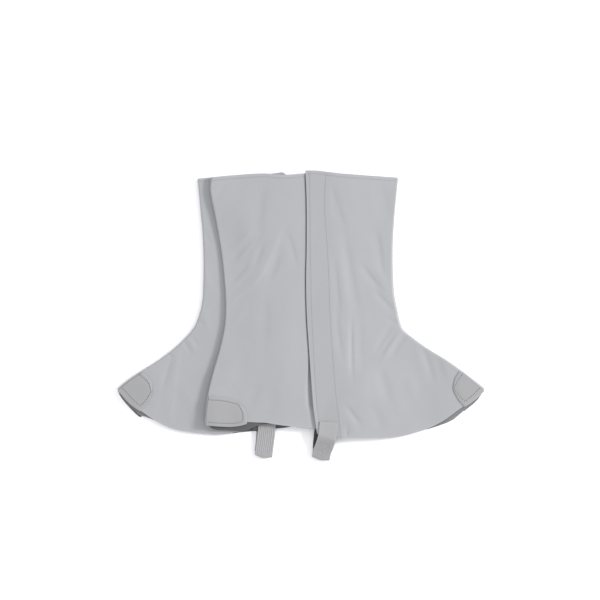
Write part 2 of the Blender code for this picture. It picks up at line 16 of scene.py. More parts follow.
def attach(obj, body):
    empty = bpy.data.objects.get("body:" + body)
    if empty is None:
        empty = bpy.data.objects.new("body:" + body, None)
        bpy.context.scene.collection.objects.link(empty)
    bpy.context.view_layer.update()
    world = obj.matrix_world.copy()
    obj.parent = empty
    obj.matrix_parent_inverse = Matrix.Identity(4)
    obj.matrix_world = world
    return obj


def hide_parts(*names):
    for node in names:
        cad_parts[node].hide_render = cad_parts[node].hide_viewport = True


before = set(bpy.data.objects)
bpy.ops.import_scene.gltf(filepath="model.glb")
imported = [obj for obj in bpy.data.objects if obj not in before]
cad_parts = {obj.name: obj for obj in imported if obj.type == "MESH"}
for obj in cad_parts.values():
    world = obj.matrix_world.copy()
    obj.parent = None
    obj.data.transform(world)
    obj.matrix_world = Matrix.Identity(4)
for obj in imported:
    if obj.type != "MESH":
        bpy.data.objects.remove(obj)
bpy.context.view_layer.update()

# A millimetre in metres, the pair's middle, where turning the lower gaiter over puts its Y axis,
# and the least length that anything is divided by
MM = 0.001
MIDDLE = (-0.36, -0.17)
LOWER_TURN = -11.8
TINY = 1e-9

# Thicknesses, and the gap between pieces that touch
CLOTH = 1.0
TRIM = 1.0
GAP = 0.3
STEP = CLOTH / 2 + GAP + TRIM / 2

# Rolled edges: how their seams open, curl in and roll, and how far a face's border moves in
SEAM_OPENING = 0.8
MOST_OPENING = 20.0
SEAM_CURL = 0.5
CURL_START = 0.7
LEAST_TURNS = 5
SEAM_ROLL = (-10.0, 40.0)
SEAM_ROLLED = 10.0
MOST_PULL = 0.8
BEVEL = 0.35
PATCH_BEVEL = 0.2

# Closure: the flap's width over the underlap, the tapes between them, and the ramps beside it
OVERLAP = 24.0
TAPE_EDGES = (2.0, 22.0)
RAMP = 20.0
FLAP_MARGIN = 5.0
FOLD_CLEAR = 6.0
RAMP_CHANGE = (40.0, 90.0)
CLOSURE_TOP = 156.0
CLOSURE_HEM = -129.0
TAPE_SHARES = (0.03, 0.885)
STRAP_ZONE = (-97.0, -106.0)

# Straps
STRAP_WIDTH = 20.0
ELASTIC_WIDTH = 19.4

# Patches: how far they turn over the hem, and the room that the layers leave for them
PATCH_REACHES = {"toe": 0.9, "heel": 2.5}
UNDER_REACH = 0.4
PATCH_LIP = 0.9
PATCH_MARGIN = 0.3
TOE_ROOM = (45.0, 70.0)
HEEL_ROOM = (48.0, 70.0)
TOP_RAISE = {"toe": 0.6, "heel": 0.1}

# How the upper gaiter lies on the lower one and falls to the surface beyond it
OVER_LOWER = 5.0
TOP_FOLLOW = 0.4
HEEL_FALL = (10.0, 35.0)
TOP_HEEL_FALL = (-38.0, 60.0)
HEM_FALL = (5.0, 30.0)
OVER_HEEL_PATCH = 1.2
EDGE_LIFT = (4.0, 36.0)
PATCH_FOLD_ROOM = (34.0, 58.0)

# Spacing of the meshes' rows and columns: on panels that face up, on hidden ones, and near edges
FINE = 1.3
PLAIN_FINE = 1.6
COARSE = 4.0
FLAP_SPACING = 1.0
UNDERLAP_BEND = 4.8
BEND_SPACING = 0.6
NEAR_EDGE = (0.0, 0.7, 1.6, 2.5, 3.4, 4.3, 5.6, 7.2, 9.0)
HEEL_PART_WIDTH = 75.0
TOE_PART_WIDTH = 100.0
TURN_STEP = 11.0
EDGE_SPAN = 0.01
PATCH_CELLS = 26
LIP_STEPS = 6

# Soft folds: the steps along each run, and how they fade in at both of its ends
FOLD_STEPS = 24
FOLD_FADE = 0.12
FOLD_FULL = 0.38

# Unevenness of the cloth that faces up: the size, depth and start of each noise
UNEVEN = ((34.0, 0.25, 3.0), (13.0, 0.08, 11.0))

# The hem at the top is turned in and sewn down, so the leather shows inside it
TURNED_HEM = 6.0

# Stitches: how far inside the edges they run, how deep they pull the cloth, and their spacing
TOP_INSET = 3.4
DIP = 0.01
DIP_WIDTH = 1.2
PITCH = 3.0
PATCH_PITCH = 2.4
PATCH_INSETS = {"toe": 4.2, "heel": 4.3}
HEM_INSETS = {"toe": 3.4, "heel": 1.0}

# Patches' faces: the dip along their stitches, the puff inside it, and their thin border
PATCH_DIP = 0.1
PATCH_DIP_WIDTH = 0.9
PATCH_PUFF = 0.22
PUFF_RAMP = 4.0
PATCH_SKIVE = 0.75
SKIVE_WIDTH = 1.6

# Stitch rows: their points, the columns and rows left free at their ends, how much of the hem
# a patch's row follows, and how round its corner is
LINE_POINTS = 240
SEAM_COLUMNS = 7.0
FREE_COLUMNS = 4.0
FLAP_END_ROWS = 2.0
PATCH_LINE_SHARE = 0.94
ROUNDING = 300

# Patches' plan: the span that gives the hem's direction, and the search for the border's start
HEM_SPAN = 0.5
EDGE_TRIES = 200
TRIES_START = 0.5

# A stitch: its thread, the places along it that have a ring of points, its needle holes, and a
# direction that no stitch faces
THREAD_LENGTH = 0.5
THREAD_RADIUS = 0.1
THREAD_TAPER = 0.4
THREAD_RISE = -0.02
THREAD_SINK = 0.1
THREAD_PLACES = np.array([-1.0, -0.7, 0.0, 0.7, 1.0])
THREAD_HEIGHTS = THREAD_RISE * (1.0 - THREAD_PLACES**2) - THREAD_SINK * THREAD_PLACES**2
THREAD_WIDTHS = THREAD_RADIUS * (1.0 - THREAD_TAPER * THREAD_PLACES**4)
STITCH_SIDES = 6
STITCH_TURNS = np.arange(STITCH_SIDES) * 2.0 * math.pi / STITCH_SIDES
# Needle holes are drawn as dark cones of painted shade, standing for the shade inside each hole
HOLE = 0.42
PATCH_HOLE = 0.55
HOLE_RISE = 0.05
NOT_OUTWARD = (0.0, 1.0, 0.2)

# Bands: the spacing along them, the points across the tape, and the elastic's ribs and knitting
BAND_SPACING = 0.7
BAND_BEVEL = 0.25
TAPE_COLUMNS = 21
ELASTIC_RIBS = 9
RIB_STEPS = 8
RIB_RISE = 0.2
RIB_WOBBLE = 0.12
KNIT_ROW = 2.4

# How far wear reaches in from a cut edge
WEAR_WIDTH = 1.6

# Finishes: the size of the leather's grain, the size of a backing's fuzz to that of its loops, the
# strap tape's speckles and where they start, how far a wave texture turns in a metre at scale 1,
# in radians, how blue a grey is, and how much warmer its spots are
GRAIN = 0.8
FUZZ_SIZE = 0.4
SPECKLE = 1.15
SPECKLE_START = 19.0
SPECKLE_FULL = 26.0
WAVE_TURNS = 20.0
GREY_BLUE = 1.04
SPOT_WARMTH = 0.01

# Where painted light turns the backing paler towards the toe, in metres from the pair's middle
TOE_LIGHT_FROM = 0.12
TOE_LIGHT_TO = 0.165

# Stage: lengths in metres and powers in watts
FLOOR_SIZE = 6.0
FLOOR_GAP = 0.0002
FLOOR_TONE = 0.93
FILL = 1.1
RIM_POWER = 9.0
RIM_SIZE = 1.2
RIM_PLACE = (-2.6, -0.4, 0.75)
KEY_POWER = 150.0
KEY_SIZE = 0.8
KEY_PLACE = (3.3, 1.07, 2.0)
SENSOR = 36.0
CAMERA_HEIGHT = 2.0
CAMERA_REACH = 20.0
SEEN_WIDTH = 0.66
SEEN_HEIGHT = 0.008
SEEN_MIDDLE = (-0.00041, 0.01744)

Edge = namedtuple("Edge", "share x y")
Line = namedtuple("Line", "x y")
Level = namedtuple("Level", "body tape strap")
Sewn = namedtuple("Sewn", "x y turn")
Station = namedtuple("Station", "x y z turn bow")
Lift = namedtuple("Lift", "y lift press")
Ramp = namedtuple("Ramp", "top hem beyond")
Fold = namedtuple("Fold", "x0 y0 x1 y1 x2 y2 left right height")
Gaiter = namedtuple("Gaiter", "name heel instep beyond flap tops hems levels ramps seams borders folds")
Look = namedtuple("Look", "thickness slot finishes bevels free")


def table_of(kind, *rows):
    """Return rows of numbers as one kind of named row."""
    return tuple(kind(*map(float, row)) for row in rows)


HEEL_EDGE = table_of(Edge,
    (0, -96.8, 152.6), (0.045, -98.2, 140.5), (0.09, -96.5, 127.3), (0.15, -93.2, 111.9),
    (0.3, -86, 71.2), (0.45, -81.8, 30.5), (0.53, -81.1, 8.5), (0.6, -82.2, -10.2), (0.7, -87.7, -36.6),
    (0.8, -95.4, -64.1), (0.9, -101.4, -90.5), (1, -104.2, -118),
)

UPPER_INSTEP = table_of(Edge,
    (0, 105.9, 152.2), (0.15, 101.8, 110.8), (0.3, 99.9, 69), (0.45, 101.3, 27.2), (0.54, 105.4, 4.1),
    (0.585, 108.5, -9.2), (0.6, 111.4, -15.7), (0.62, 116.7, -21), (0.7, 136.2, -35.5),
    (0.8, 159.8, -50.2), (0.9, 181.8, -65.8), (1, 202, -81.7),
)

LOWER_INSTEP = table_of(Edge,
    (0, 102, 151.2), (0.13, 98.9, 117.8), (0.2, 96.9, 97.4), (0.3, 95.5, 70.1), (0.42, 95.5, 37.7),
    (0.515, 97.4, 11.8), (0.585, 103.4, -8), (0.61, 107.8, -15.7), (0.64, 115.5, -24.5),
    (0.69, 126.5, -35), (0.78, 145.2, -49.3), (0.88, 166.1, -62.5), (0.94, 178.2, -70.7),
    (1, 190.5, -80.6),
)

UPPER_FLAP = table_of(Line,
    (5.1, 158), (6.4, 125.1), (6.4, 72.3), (5.8, 39.3), (6.6, 0.8), (9.1, -37.7), (12.2, -81.7),
    (14.1, -103.7), (17.9, -129.7),
)

LOWER_FLAP = table_of(Line,
    (5.8, 158), (5.4, 17.3), (8.9, -59.7), (12.4, -94.9), (17.9, -129.7),
)

UPPER_TOPS = {
    "heel_panel": table_of(Line,
        (-96.8, 153.2), (-77.8, 154.8), (-42.6, 156.7), (-17.3, 154.9), (5.3, 156.6), (32.2, 156.6),
    ),
    "toe_panel": table_of(Line,
        (5, 159.8), (18.8, 159.5), (28.8, 158.2), (44, 156.5), (69.3, 154.7), (106.4, 152.5),
    ),
    "inner_panel": table_of(Line,
        (-96.8, 152), (-42.6, 154), (5.3, 155.5), (30.8, 155.9), (85, 152.8), (106.4, 151.2),
    ),
}

# The lower gaiter's plain side has a low peak that shows above the upper gaiter
LOWER_TOPS = {
    "heel_panel": table_of(Line,
        (-96.8, 152.8), (-42.6, 153.6), (32.2, 153.8),
    ),
    "toe_panel": table_of(Line,
        (5, 154.8), (28.8, 154.8), (44, 154.6), (69.3, 153.4), (106.4, 151.4),
    ),
    "inner_panel": table_of(Line,
        (-96.8, 152), (-42.6, 154), (-5, 154.4), (4.4, 155.3), (7.7, 158), (14, 157.3), (20.6, 156.5),
        (32, 155.3), (85, 152.8), (106.4, 151.2),
    ),
}

UPPER_HEMS = {
    "heel_panel": table_of(Line,
        (-104.2, -117), (-95, -118), (-87, -118.8), (-76, -119.3), (-67, -118.4), (-59.2, -116.6),
        (-47.4, -117), (-38.1, -117.5), (-26.3, -119.6), (-8.7, -121.9), (11.9, -124.1), (48.7, -125.7),
    ),
    "toe_panel": table_of(Line,
        (17.9, -129.7), (42.8, -133.1), (85, -134.2), (97.9, -133.7), (114.4, -131.9), (126.1, -128.9),
        (137.8, -125.4), (149.6, -120.1), (161.3, -113.1), (173, -104.3), (191.5, -91.6), (202, -81.7),
    ),
    "inner_panel": table_of(Line,
        (-104.2, -118), (-95.8, -124.2), (-83.3, -125.5), (-60.2, -126), (-48.1, -121.3),
        (-33.8, -119.1), (-0.8, -119.1), (32.2, -122.4), (65.2, -125.2), (109.2, -126.8),
        (137.8, -125.7), (147.4, -123.2), (157.6, -119.6), (167.9, -115), (178.2, -106.3),
        (193.6, -93.4), (202, -81.7),
    ),
}

LOWER_HEMS = {
    "heel_panel": table_of(Line,
        (-104.2, -118), (-60.5, -118), (-33, -119.1), (-3.3, -121.9), (5.5, -123.5), (36.3, -125.7),
        (48.7, -126),
    ),
    "toe_panel": table_of(Line,
        (15.4, -127.2), (36.3, -127.1), (53.1, -128.4), (66, -130.1), (82.5, -129.6), (115.5, -125.7),
        (143, -119.1), (156.6, -113.9), (165.4, -111.2), (170.7, -107.3), (180.4, -98), (187.4, -89.2),
        (190.5, -80.6),
    ),
    "inner_panel": table_of(Line,
        (-104.2, -118), (-60.5, -117.6), (0, -116.9), (28.6, -116.9), (35.2, -119.1), (41.8, -122.4),
        (48.4, -126.3), (60.5, -128.5), (67.1, -130.1), (82.5, -131), (93.5, -130.1), (104.5, -129),
        (126.5, -125.2), (145.2, -117.5), (165, -104.3), (176, -96), (187, -83.9), (190.5, -80.6),
    ),
}

# Heights of each layer's middle above what the gaiter lies on: in the body, between the closure
# tapes, and beside the strap's sewn ends
UPPER_LEVELS = {
    "inner_panel": Level(0.5, 0.5, 0.5),
    "heel_panel": Level(4.1, 1.9, 3.1),
    "toe_panel": Level(4.1, 5.8, 5.8),
}

LOWER_LEVELS = {
    "toe_panel": Level(0.5, 0.5, 1.8),
    "heel_panel": Level(0.5, 4.4, 3.1),
    "inner_panel": Level(3.7, 5.7, 5.7),
}

# How wide the closure's ramps are: before the flap's edge, at the top and at the hem, and
# beyond the tapes
UPPER_RAMPS = {
    "inner_panel": Ramp(20.0, 20.0, 20.0),
    "heel_panel": Ramp(1.2, 9.0, 20.0),
    "toe_panel": Ramp(20.0, 20.0, 45.0),
}

LOWER_RAMPS = {
    "toe_panel": Ramp(20.0, 20.0, 20.0),
    "heel_panel": Ramp(20.0, 20.0, 20.0),
    "inner_panel": Ramp(36.0, 36.0, 36.0),
}

# How far the upper gaiter's heel edge stands off the lower one, and how flat it is pressed
HEEL_LIFTS = table_of(Lift,
    (156, 0.7, 0), (138, 0.6, 0), (115, 0.1, 0.7), (85, 0, 1.9), (55, 0, 1.8), (20, 0, 1.1),
    (-38, 0.4, 0.4), (-75, 1.4, 0), (-118, 2.3, 0),
)

# How far the flap's free edge stands up from the tapes, which is negative where it hangs
FLAP_LIFTS = table_of(Lift,
    (156, -0.35, 0), (-30, -0.35, 0), (-58, -0.1, 0), (-80, 0.25, 0), (-108, 0.35, 0), (-130, 0.1, 0),
)

# Where each seam lies round the folded edge, in degrees above the edge's middle
UPPER_SEAMS = {"heel": 18.0, "instep": -56.0}
LOWER_SEAMS = {"heel": -56.0, "instep": -56.0}

TOE_BORDER = table_of(Line,
    (173.6, -61.9), (169.2, -69.7), (167.9, -77.4), (168.6, -82.6), (173, -90.3), (179.4, -97),
)

LOWER_TOE_BORDER = table_of(Line,
    (162.8, -61.5), (154, -70), (151.9, -79.5), (152.7, -87.2), (156.5, -94.9), (164.2, -103.6),
)

HEEL_BORDER = table_of(Line,
    (-100.3, -88.1), (-87.7, -89.2), (-76.1, -92), (-67.9, -96.6), (-62.9, -102.1), (-59.6, -108.1),
    (-59.1, -117.6),
)

# The flap's two stitch rows on the upper gaiter
FLAP_ROWS = (
    table_of(Line,
        (10, 158), (10.1, 130), (10.6, 69), (11.3, 38), (12.2, 1), (14.1, -38), (16.8, -87),
        (19.6, -112.5), (21.4, -126),
    ),
    table_of(Line,
        (27.8, 158), (26.2, 135), (26.4, 115), (27.9, 94), (30.6, 53), (31.7, 17), (33.3, -15.7),
        (35, -43), (37.2, -70.7), (39.4, -92.7), (41, -107), (43.4, -128),
    ),
)

# Soft folds: the start, middle and end of a bent run, its widths to the left and right of the
# way it runs, and its height, which is negative in a trough
UPPER_FOLDS = {
    "heel_panel": table_of(Fold,
        (-39.5, 152, -46.5, 112, -46.5, 88, 5.4, 10.8, -0.90),
        (-41, 96, -51, 80, -61, 64, 2.6, 5.4, -0.58), (-41, 80, -44.5, 66, -52, 53, 2.4, 4.2, -0.58),
        (-20, 100, -33, 67, -45, 44, 3.8, 9.6, 0.91), (-37, 58, -46.5, 38, -61, 27, 2.2, 6, 0.56),
        (-56, 33, -66, 24, -81, 9, 1.9, 4.8, 0.43), (-20, 74, -28, 56, -36, 36, 3.6, 6, -0.68),
        (-15, 92, -8, 76, -3.5, 50, 2.2, 4.8, -0.45), (-52, 96, -63, 84, -75, 71, 2.4, 3.8, 0.43),
        (-50, 87, -64, 72, -78, 60, 2.2, 4.1, -0.49), (-45, 91, -56, 72, -72, 57, 2.4, 4.1, 0.43),
        (-54, 62, -65, 47, -80, 34, 1.8, 3.6, -0.45), (-51, 56, -62, 43, -77, 29, 2.2, 3.6, 0.35),
        (-80, 145, -88, 136, -95, 128, 3, 4.8, -0.41), (-71, 56, -75.5, 53, -80, 49.5, 1.1, 1.6, 0.21),
        (-62, 122, -74, 110, -88, 98, 4.8, 6, 0.31), (-15, 44, -20, -30, -22, -112, 18, 21.6, 0.95),
        (-40, 22, -36, -6, -42, -40, 4.8, 9.6, -0.45), (-60, 14, -66, 0, -78, -18, 3.6, 7.2, 0.35),
        (-46, -70, -50, -88, -60, -106, 4.8, 9.6, -0.58), (-70, -40, -78, -60, -84, -82, 6, 8.4, 0.39),
        (-30, -78, -30, -96, -36, -114, 6, 7.2, -0.36),
    ),
    "toe_panel": table_of(Fold,
        (31, 148, 41.5, 119, 50, 86, 3.7, 7.5, -0.46), (37, 62, 41.2, 34, 43, -8, 2.1, 4.6, -0.54),
        (47, 92, 53.5, 54, 63, 0, 4.6, 6.9, -0.68), (44, 74, 47, 34, 52, -2, 3.4, 4.6, 0.19),
        (83, 96, 87, 73, 90, 46, 3, 6.3, -0.58), (67, 56, 77, 42, 91, 26, 2.5, 4.6, -0.58),
        (77, 62, 88, 44, 98, 22, 3.4, 5.2, 0.26), (80, 30, 92, 15.5, 106, 2, 2.5, 4.6, -0.58),
        (87, 150, 91, 125, 96, 100, 6.9, 10.3, -0.63), (64, 130, 68, 96, 62, 60, 10.3, 11.5, 0.26),
        (56.5, -2, 55.5, -35, 57.5, -74, 1.7, 3.2, -0.58), (51, -4, 51.5, -40, 51, -72, 2.5, 4.6, 0.19),
        (38, 12, 41, -18, 45.5, -48, 2.5, 4.6, -0.49), (66, 0, 64, -30, 68, -66, 4, 5.8, -0.36),
        (112, -15, 99, -32, 89, -51, 1.8, 3, 0.75), (103, -8, 94, -22, 82, -39, 2.3, 3.7, -0.68),
        (107, -17, 97, -29, 89, -43, 1.4, 2.1, -0.41), (118, -19, 107, -33, 99, -46, 2.3, 3, -0.58),
        (96, -12, 102, -13.5, 109, -14, 1.5, 1.7, 0.26), (94, -3, 100, -5.5, 107, -7, 1.7, 2.3, -0.36),
        (133, -33, 142, -53, 148, -76, 3.2, 5.8, -0.68), (126, -31, 134, -48, 140, -68, 3.7, 5.8, 0.29),
        (148, -44, 157, -64, 164, -88, 3.7, 6.3, -0.58), (158, -52, 163, -66, 165, -80, 2.8, 4, 0.23),
        (87, -54, 92, -78, 99, -100, 5.2, 8, -0.63), (116, -62, 126, -76, 123, -95, 4.6, 6.9, 0.38),
        (104, -58, 110, -82, 104, -104, 5.8, 6.9, 0.20), (70, -50, 73, -80, 66, -112, 8, 10.3, 0.29),
        (49, -98, 59, -109, 67, -122, 2.3, 4.1, -0.68), (49, -106, 56, -117, 60, -130, 3.4, 3.4, 0.17),
        (51, -120, 51.3, -128, 50.5, -137, 1.5, 2.3, -0.54),
        (78, -100, 86, -112, 90, -128, 4.6, 5.8, -0.36),
    ),
    "inner_panel": table_of(Fold,
        (-60, 120, -30, 90, -12, 40, 8, 9, 0.45), (60, 130, 74, 84, 92, 46, 9, 8, 0.4),
        (106, -16, 92, -34, 74, -62, 5, 5, 0.5), (130, -40, 132, -66, 150, -92, 7, 7, 0.35),
        (-70, 20, -44, -20, -36, -72, 9, 9, 0.35), (20, -30, 26, -64, 40, -100, 8, 8, 0.35),
    ),
}

LOWER_FOLDS = {
    "inner_panel": table_of(Fold,
        (107, -5, 99, -7.5, 92, -10.5, 1.1, 1.6, -0.6), (116, -18, 108, -25, 101, -32, 1.8, 1.3, -0.55),
        (121, -22, 113.5, -33, 108.5, -42, 2.4, 1.5, -0.6),
        (115, -16, 108, -30, 103, -42, 2.6, 2, 0.35),
        (139, -38, 133, -43, 128.5, -46.5, 1.4, 1.2, -0.5), (129, -43, 136, -65, 143, -90, 4, 2, -0.65),
        (123, -38, 126, -60, 131, -88, 5, 3.5, 0.6), (100, 62, 92, 44, 87, 20, 7, 5, 0.4),
        (98, 98, 92, 86, 84, 74, 4, 3, -0.35), (128, -84, 131, -102, 134, -122, 3.5, 2.6, 0.4),
        (120, -70, 108, -92, 102, -122, 8, 7, 0.45), (140, -86, 143, -100, 146, -112, 4, 3, -0.4),
        (98, 10, 92, -6, 88, -22, 5, 4, 0.35), (60, 130, 40, 86, 36, 40, 11, 11, -0.4),
        (-40, 96, -52, 60, -72, 24, 8, 9, 0.4),
    ),
    "toe_panel": table_of(Fold,
        (104, -12, 94, -30, 82, -52, 5, 5, 0.6), (66, 110, 76, 72, 92, 40, 8, 8, 0.5),
        (60, 30, 58, -14, 64, -60, 7, 7, 0.45), (132, -40, 134, -64, 146, -84, 6, 6, 0.5),
        (92, -70, 100, -92, 96, -112, 8, 8, 0.35),
    ),
    "heel_panel": table_of(Fold,
        (-30, 110, -44, 74, -68, 40, 8, 8, 0.55), (-60, 10, -46, -26, -40, -70, 8, 8, 0.45),
        (-62, 122, -72, 108, -84, 98, 5, 5, 0.3), (-24, 20, -26, -30, -20, -80, 9, 9, 0.35),
    ),
}

UPPER = Gaiter(
    "upper",
    HEEL_EDGE,
    UPPER_INSTEP,
    {"heel": 1.6, "instep": 1.6},
    UPPER_FLAP,
    UPPER_TOPS,
    UPPER_HEMS,
    UPPER_LEVELS,
    UPPER_RAMPS,
    UPPER_SEAMS,
    {"toe": TOE_BORDER, "heel": HEEL_BORDER},
    UPPER_FOLDS,
)

LOWER = Gaiter(
    "lower",
    HEEL_EDGE,
    LOWER_INSTEP,
    {"heel": 0.0, "instep": 0.0},
    LOWER_FLAP,
    LOWER_TOPS,
    LOWER_HEMS,
    LOWER_LEVELS,
    LOWER_RAMPS,
    LOWER_SEAMS,
    {"toe": LOWER_TOE_BORDER, "heel": HEEL_BORDER},
    LOWER_FOLDS,
)

# Straps: the middle of each band where it is sewn on its panel and then where it lies free, with
# its turn in degrees, clockwise from above
UPPER_TAPE_SEWN = table_of(Sewn,
    (30.9, -116.6, 4), (30.2, -124, 9), (29, -133, 16),
)
UPPER_TAPE = table_of(Station,
    (27.9, -137.5, 10.2, 17, 0), (27, -140.5, 8.6, 17.5, 0.1), (25.3, -145.5, 6.5, 17.5, 0.3),
    (23.6, -150, 4.9, 15, 0.7), (22.4, -155, 4, 13, 1.2), (21.9, -158, 3.5, 13, 1.5),
    (21.8, -158.8, 2.8, 13, 1.6), (21.9, -158, 2.1, 13, 1.5), (22.4, -155.4, 1.8, 12.5, 1.2),
    (23.2, -148.5, 1.8, 11, 0.6),
)

UPPER_ELASTIC_SEWN = table_of(Sewn,
    (25.6, -107.5, 1), (25.4, -115, 2), (25.3, -121.5, 3),
)
UPPER_ELASTIC = table_of(Station,
    (24.7, -127.5, 6, 4.5, 0), (24, -134, 3.9, 6, 0), (23.4, -140, 1.6, 8, 0),
    (23.1, -144.5, 0.5, 9.5, 0.2), (22.8, -149, 0.5, 11, 0.6), (22.5, -154, 0.5, 12.5, 1.2),
)

LOWER_ELASTIC_SEWN = table_of(Sewn,
    (-35.8, -107.5, 5), (-36.7, -116.5, 6.5),
)
LOWER_ELASTIC = table_of(Station,
    (-38.1, -131, 4.4, 6.8, 0), (-39.5, -142, 3.9, 6.8, 0.3), (-40.6, -150, 3.6, 7.5, 1.2),
    (-41.1, -155.8, 3.3, 8, 1.8), (-41.2, -156.8, 2.6, 8, 2), (-41.1, -155.8, 1.95, 8, 1.8),
    (-40.9, -153.4, 1.8, 8, 1.4), (-40.3, -145.5, 1.8, 7, 0.6),
)

LOWER_TAPE_SEWN = table_of(Sewn,
    (-40, -116.6, 2), (-39.4, -125, 3),
)
LOWER_TAPE = table_of(Station,
    (-39, -130, 0.5, 4, 0), (-39.8, -142, 0.5, 6.5, 0.3), (-41, -151.5, 0.5, 8, 1.2),
)

# Curves and blends

def mix(first, second, share):
    """Return the value that lies a share of the way from one value to another."""
    return first + (second - first) * share


def ease(value, start, end):
    """Rise smoothly from 0 at start to 1 at end."""
    share = np.clip((value - start) / (end - start), 0.0, 1.0)
    return share * share * (3.0 - 2.0 * share)


def read_curve(keys, values, where):
    """Read values at places along their keys, on a smooth curve."""
    slopes = np.gradient(values, keys)
    slopes[1:-1] = (values[2:] - values[:-2]) / (keys[2:] - keys[:-2])
    where = np.clip(where, keys[0], keys[-1])
    low = np.clip(np.searchsorted(keys, where) - 1, 0, len(keys) - 2)
    span = keys[low + 1] - keys[low]
    share = (where - keys[low]) / span
    square = share * share
    cube = square * share
    return (
        values[low] * (2.0 * cube - 3.0 * square + 1.0)
        + values[low + 1] * (3.0 * square - 2.0 * cube)
        + slopes[low] * span * (cube - 2.0 * square + share)
        + slopes[low + 1] * span * (cube - square)
    )


def read(rows, key, column, where):
    """Read a column of a table at places along a key."""
    keys = np.array([getattr(row, key) for row in rows])
    values = np.array([getattr(row, column) for row in rows])
    if keys[0] > keys[-1]:
        keys = keys[::-1]
        values = values[::-1]
    return read_curve(keys, values, where)


def along(rows, column, share):
    """Read a column a share of the way along evenly spaced rows."""
    values = np.array([getattr(row, column) for row in rows])
    return read_curve(np.linspace(0.0, 1.0, len(rows)), values, share)


def unit(vectors):
    length = np.linalg.norm(vectors, axis=-1, keepdims=True)
    return vectors / np.maximum(length, TINY)


def spread(start, end, spacing):
    """Return evenly spaced values from start to end, about a spacing apart."""
    return np.linspace(start, end, max(2, round(abs(end - start) / spacing) + 1))


# Heights of the layers

def flap_edge(gaiter, y):
    return read(gaiter.flap, "y", "x", y)


def closure_share(gaiter, panel, x, y):
    """Return 1 over the closure and 0 well beside it."""
    ramp = gaiter.ramps[panel]
    before = mix(ramp.top, ramp.hem, ease(-y, RAMP_CHANGE[0], RAMP_CHANGE[1]))
    reach = x - flap_edge(gaiter, y)
    return ease(reach / before, -1.0, 0.0) * (1.0 - ease(reach, OVERLAP, OVERLAP + ramp.beyond))


def corner_share(x, y, corner, room):
    """Return 1 at a corner that has patches and 0 well away from it."""
    return 1.0 - ease(np.hypot(x - corner.x, y - corner.y), room[0], room[1])


def is_top(gaiter, panel):
    """Say whether a panel is on the side that faces up."""
    return gaiter.levels[panel].body > CLOTH


def way_up(gaiter, panel):
    """Return 1 for a panel that faces up and -1 for one that faces down."""
    return 1.0 if is_top(gaiter, panel) else -1.0


def floor_height(x, y, follow, fall):
    """Height of what the upper gaiter lies on: the lower gaiter, then the bare surface.

    It follows the lower gaiter's closure to a share, and falls over a range beyond its heel."""
    mirrored = LOWER_TURN - x
    heel = LOWER_TURN - read(HEEL_EDGE, "y", "x", y)
    hems = [read(LOWER_HEMS[panel], "x", "y", mirrored) for panel in LOWER_HEMS]
    hem = np.minimum.reduce(hems)
    held = 1.0 - ease(x - heel, fall[0], fall[1])
    held = held * (1.0 - ease(hem - y, HEM_FALL[0], HEM_FALL[1]))
    plain = LOWER_LEVELS["inner_panel"]
    ridge = follow * (plain.tape - plain.body) * closure_share(LOWER, "inner_panel", mirrored, y)
    ridge = ridge + OVER_HEEL_PATCH * corner_share(mirrored, y, HEEL_EDGE[-1], HEEL_ROOM)
    return held * (OVER_LOWER + ridge)


def fold_height(folds, x, y):
    """Add up the soft folds at each point: each fades along its bent run and to its sides."""
    total = np.zeros(np.shape(x))
    for fold in folds:
        best = np.full(np.shape(x), np.inf)
        place = np.zeros(np.shape(x))
        side = np.zeros(np.shape(x))
        shares = np.linspace(0.0, 1.0, FOLD_STEPS)
        for share in shares:
            rest = 1.0 - share
            mid_x = rest * rest * fold.x0 + 2.0 * rest * share * fold.x1 + share * share * fold.x2
            mid_y = rest * rest * fold.y0 + 2.0 * rest * share * fold.y1 + share * share * fold.y2
            run_x = rest * (fold.x1 - fold.x0) + share * (fold.x2 - fold.x1)
            run_y = rest * (fold.y1 - fold.y0) + share * (fold.y2 - fold.y1)
            run = math.hypot(run_x, run_y)
            across = ((x - mid_x) * run_y - (y - mid_y) * run_x) / run
            ahead = ((x - mid_x) * run_x + (y - mid_y) * run_y) / run
            away = across * across + ahead * ahead
            nearer = away < best
            best = np.where(nearer, away, best)
            side = np.where(nearer, across, side)
            length = math.hypot(fold.x2 - fold.x0, fold.y2 - fold.y0)
            place = np.where(nearer, share + ahead / length, place)
        width = np.where(side > 0.0, fold.right, fold.left)
        fade = ease(place, -FOLD_FADE, FOLD_FULL) * (1.0 - ease(place, 1.0 - FOLD_FULL, 1.0 + FOLD_FADE))
        total += fold.height * fade * np.exp(-((side / width) ** 2))
    return total


def noise_field(x, y, size, depth, seed):
    """Return smooth uneven heights over points, the same each time."""
    flat = [
        noise.noise(Vector((px / size, py / size, seed)))
        for px, py in zip(np.ravel(x), np.ravel(y))
    ]
    return np.array(flat).reshape(np.shape(x)) * depth


def height(gaiter, panel, x, y):
    """Height of a panel's middle at each point, before the folded edges and the folds."""
    level = gaiter.levels[panel]
    strap = ease(-y, -STRAP_ZONE[0], -STRAP_ZONE[1])
    closure = closure_share(gaiter, panel, x, y)
    toe = corner_share(x, y, gaiter.instep[-1], TOE_ROOM)
    heel = corner_share(x, y, gaiter.heel[-1], HEEL_ROOM)
    result = mix(level.body, mix(level.tape, level.strap, strap), closure)
    top = is_top(gaiter, panel)
    if top:
        result = result + toe * TOP_RAISE["toe"] + heel * TOP_RAISE["heel"]
    else:
        result = result + (toe + heel) * STEP
    if gaiter is UPPER:
        result = result + lifts(panel, x, y)
        follow, fall = (TOP_FOLLOW, TOP_HEEL_FALL) if top else (1.0, HEEL_FALL)
        result = result + floor_height(x, y, follow, fall)
    return result


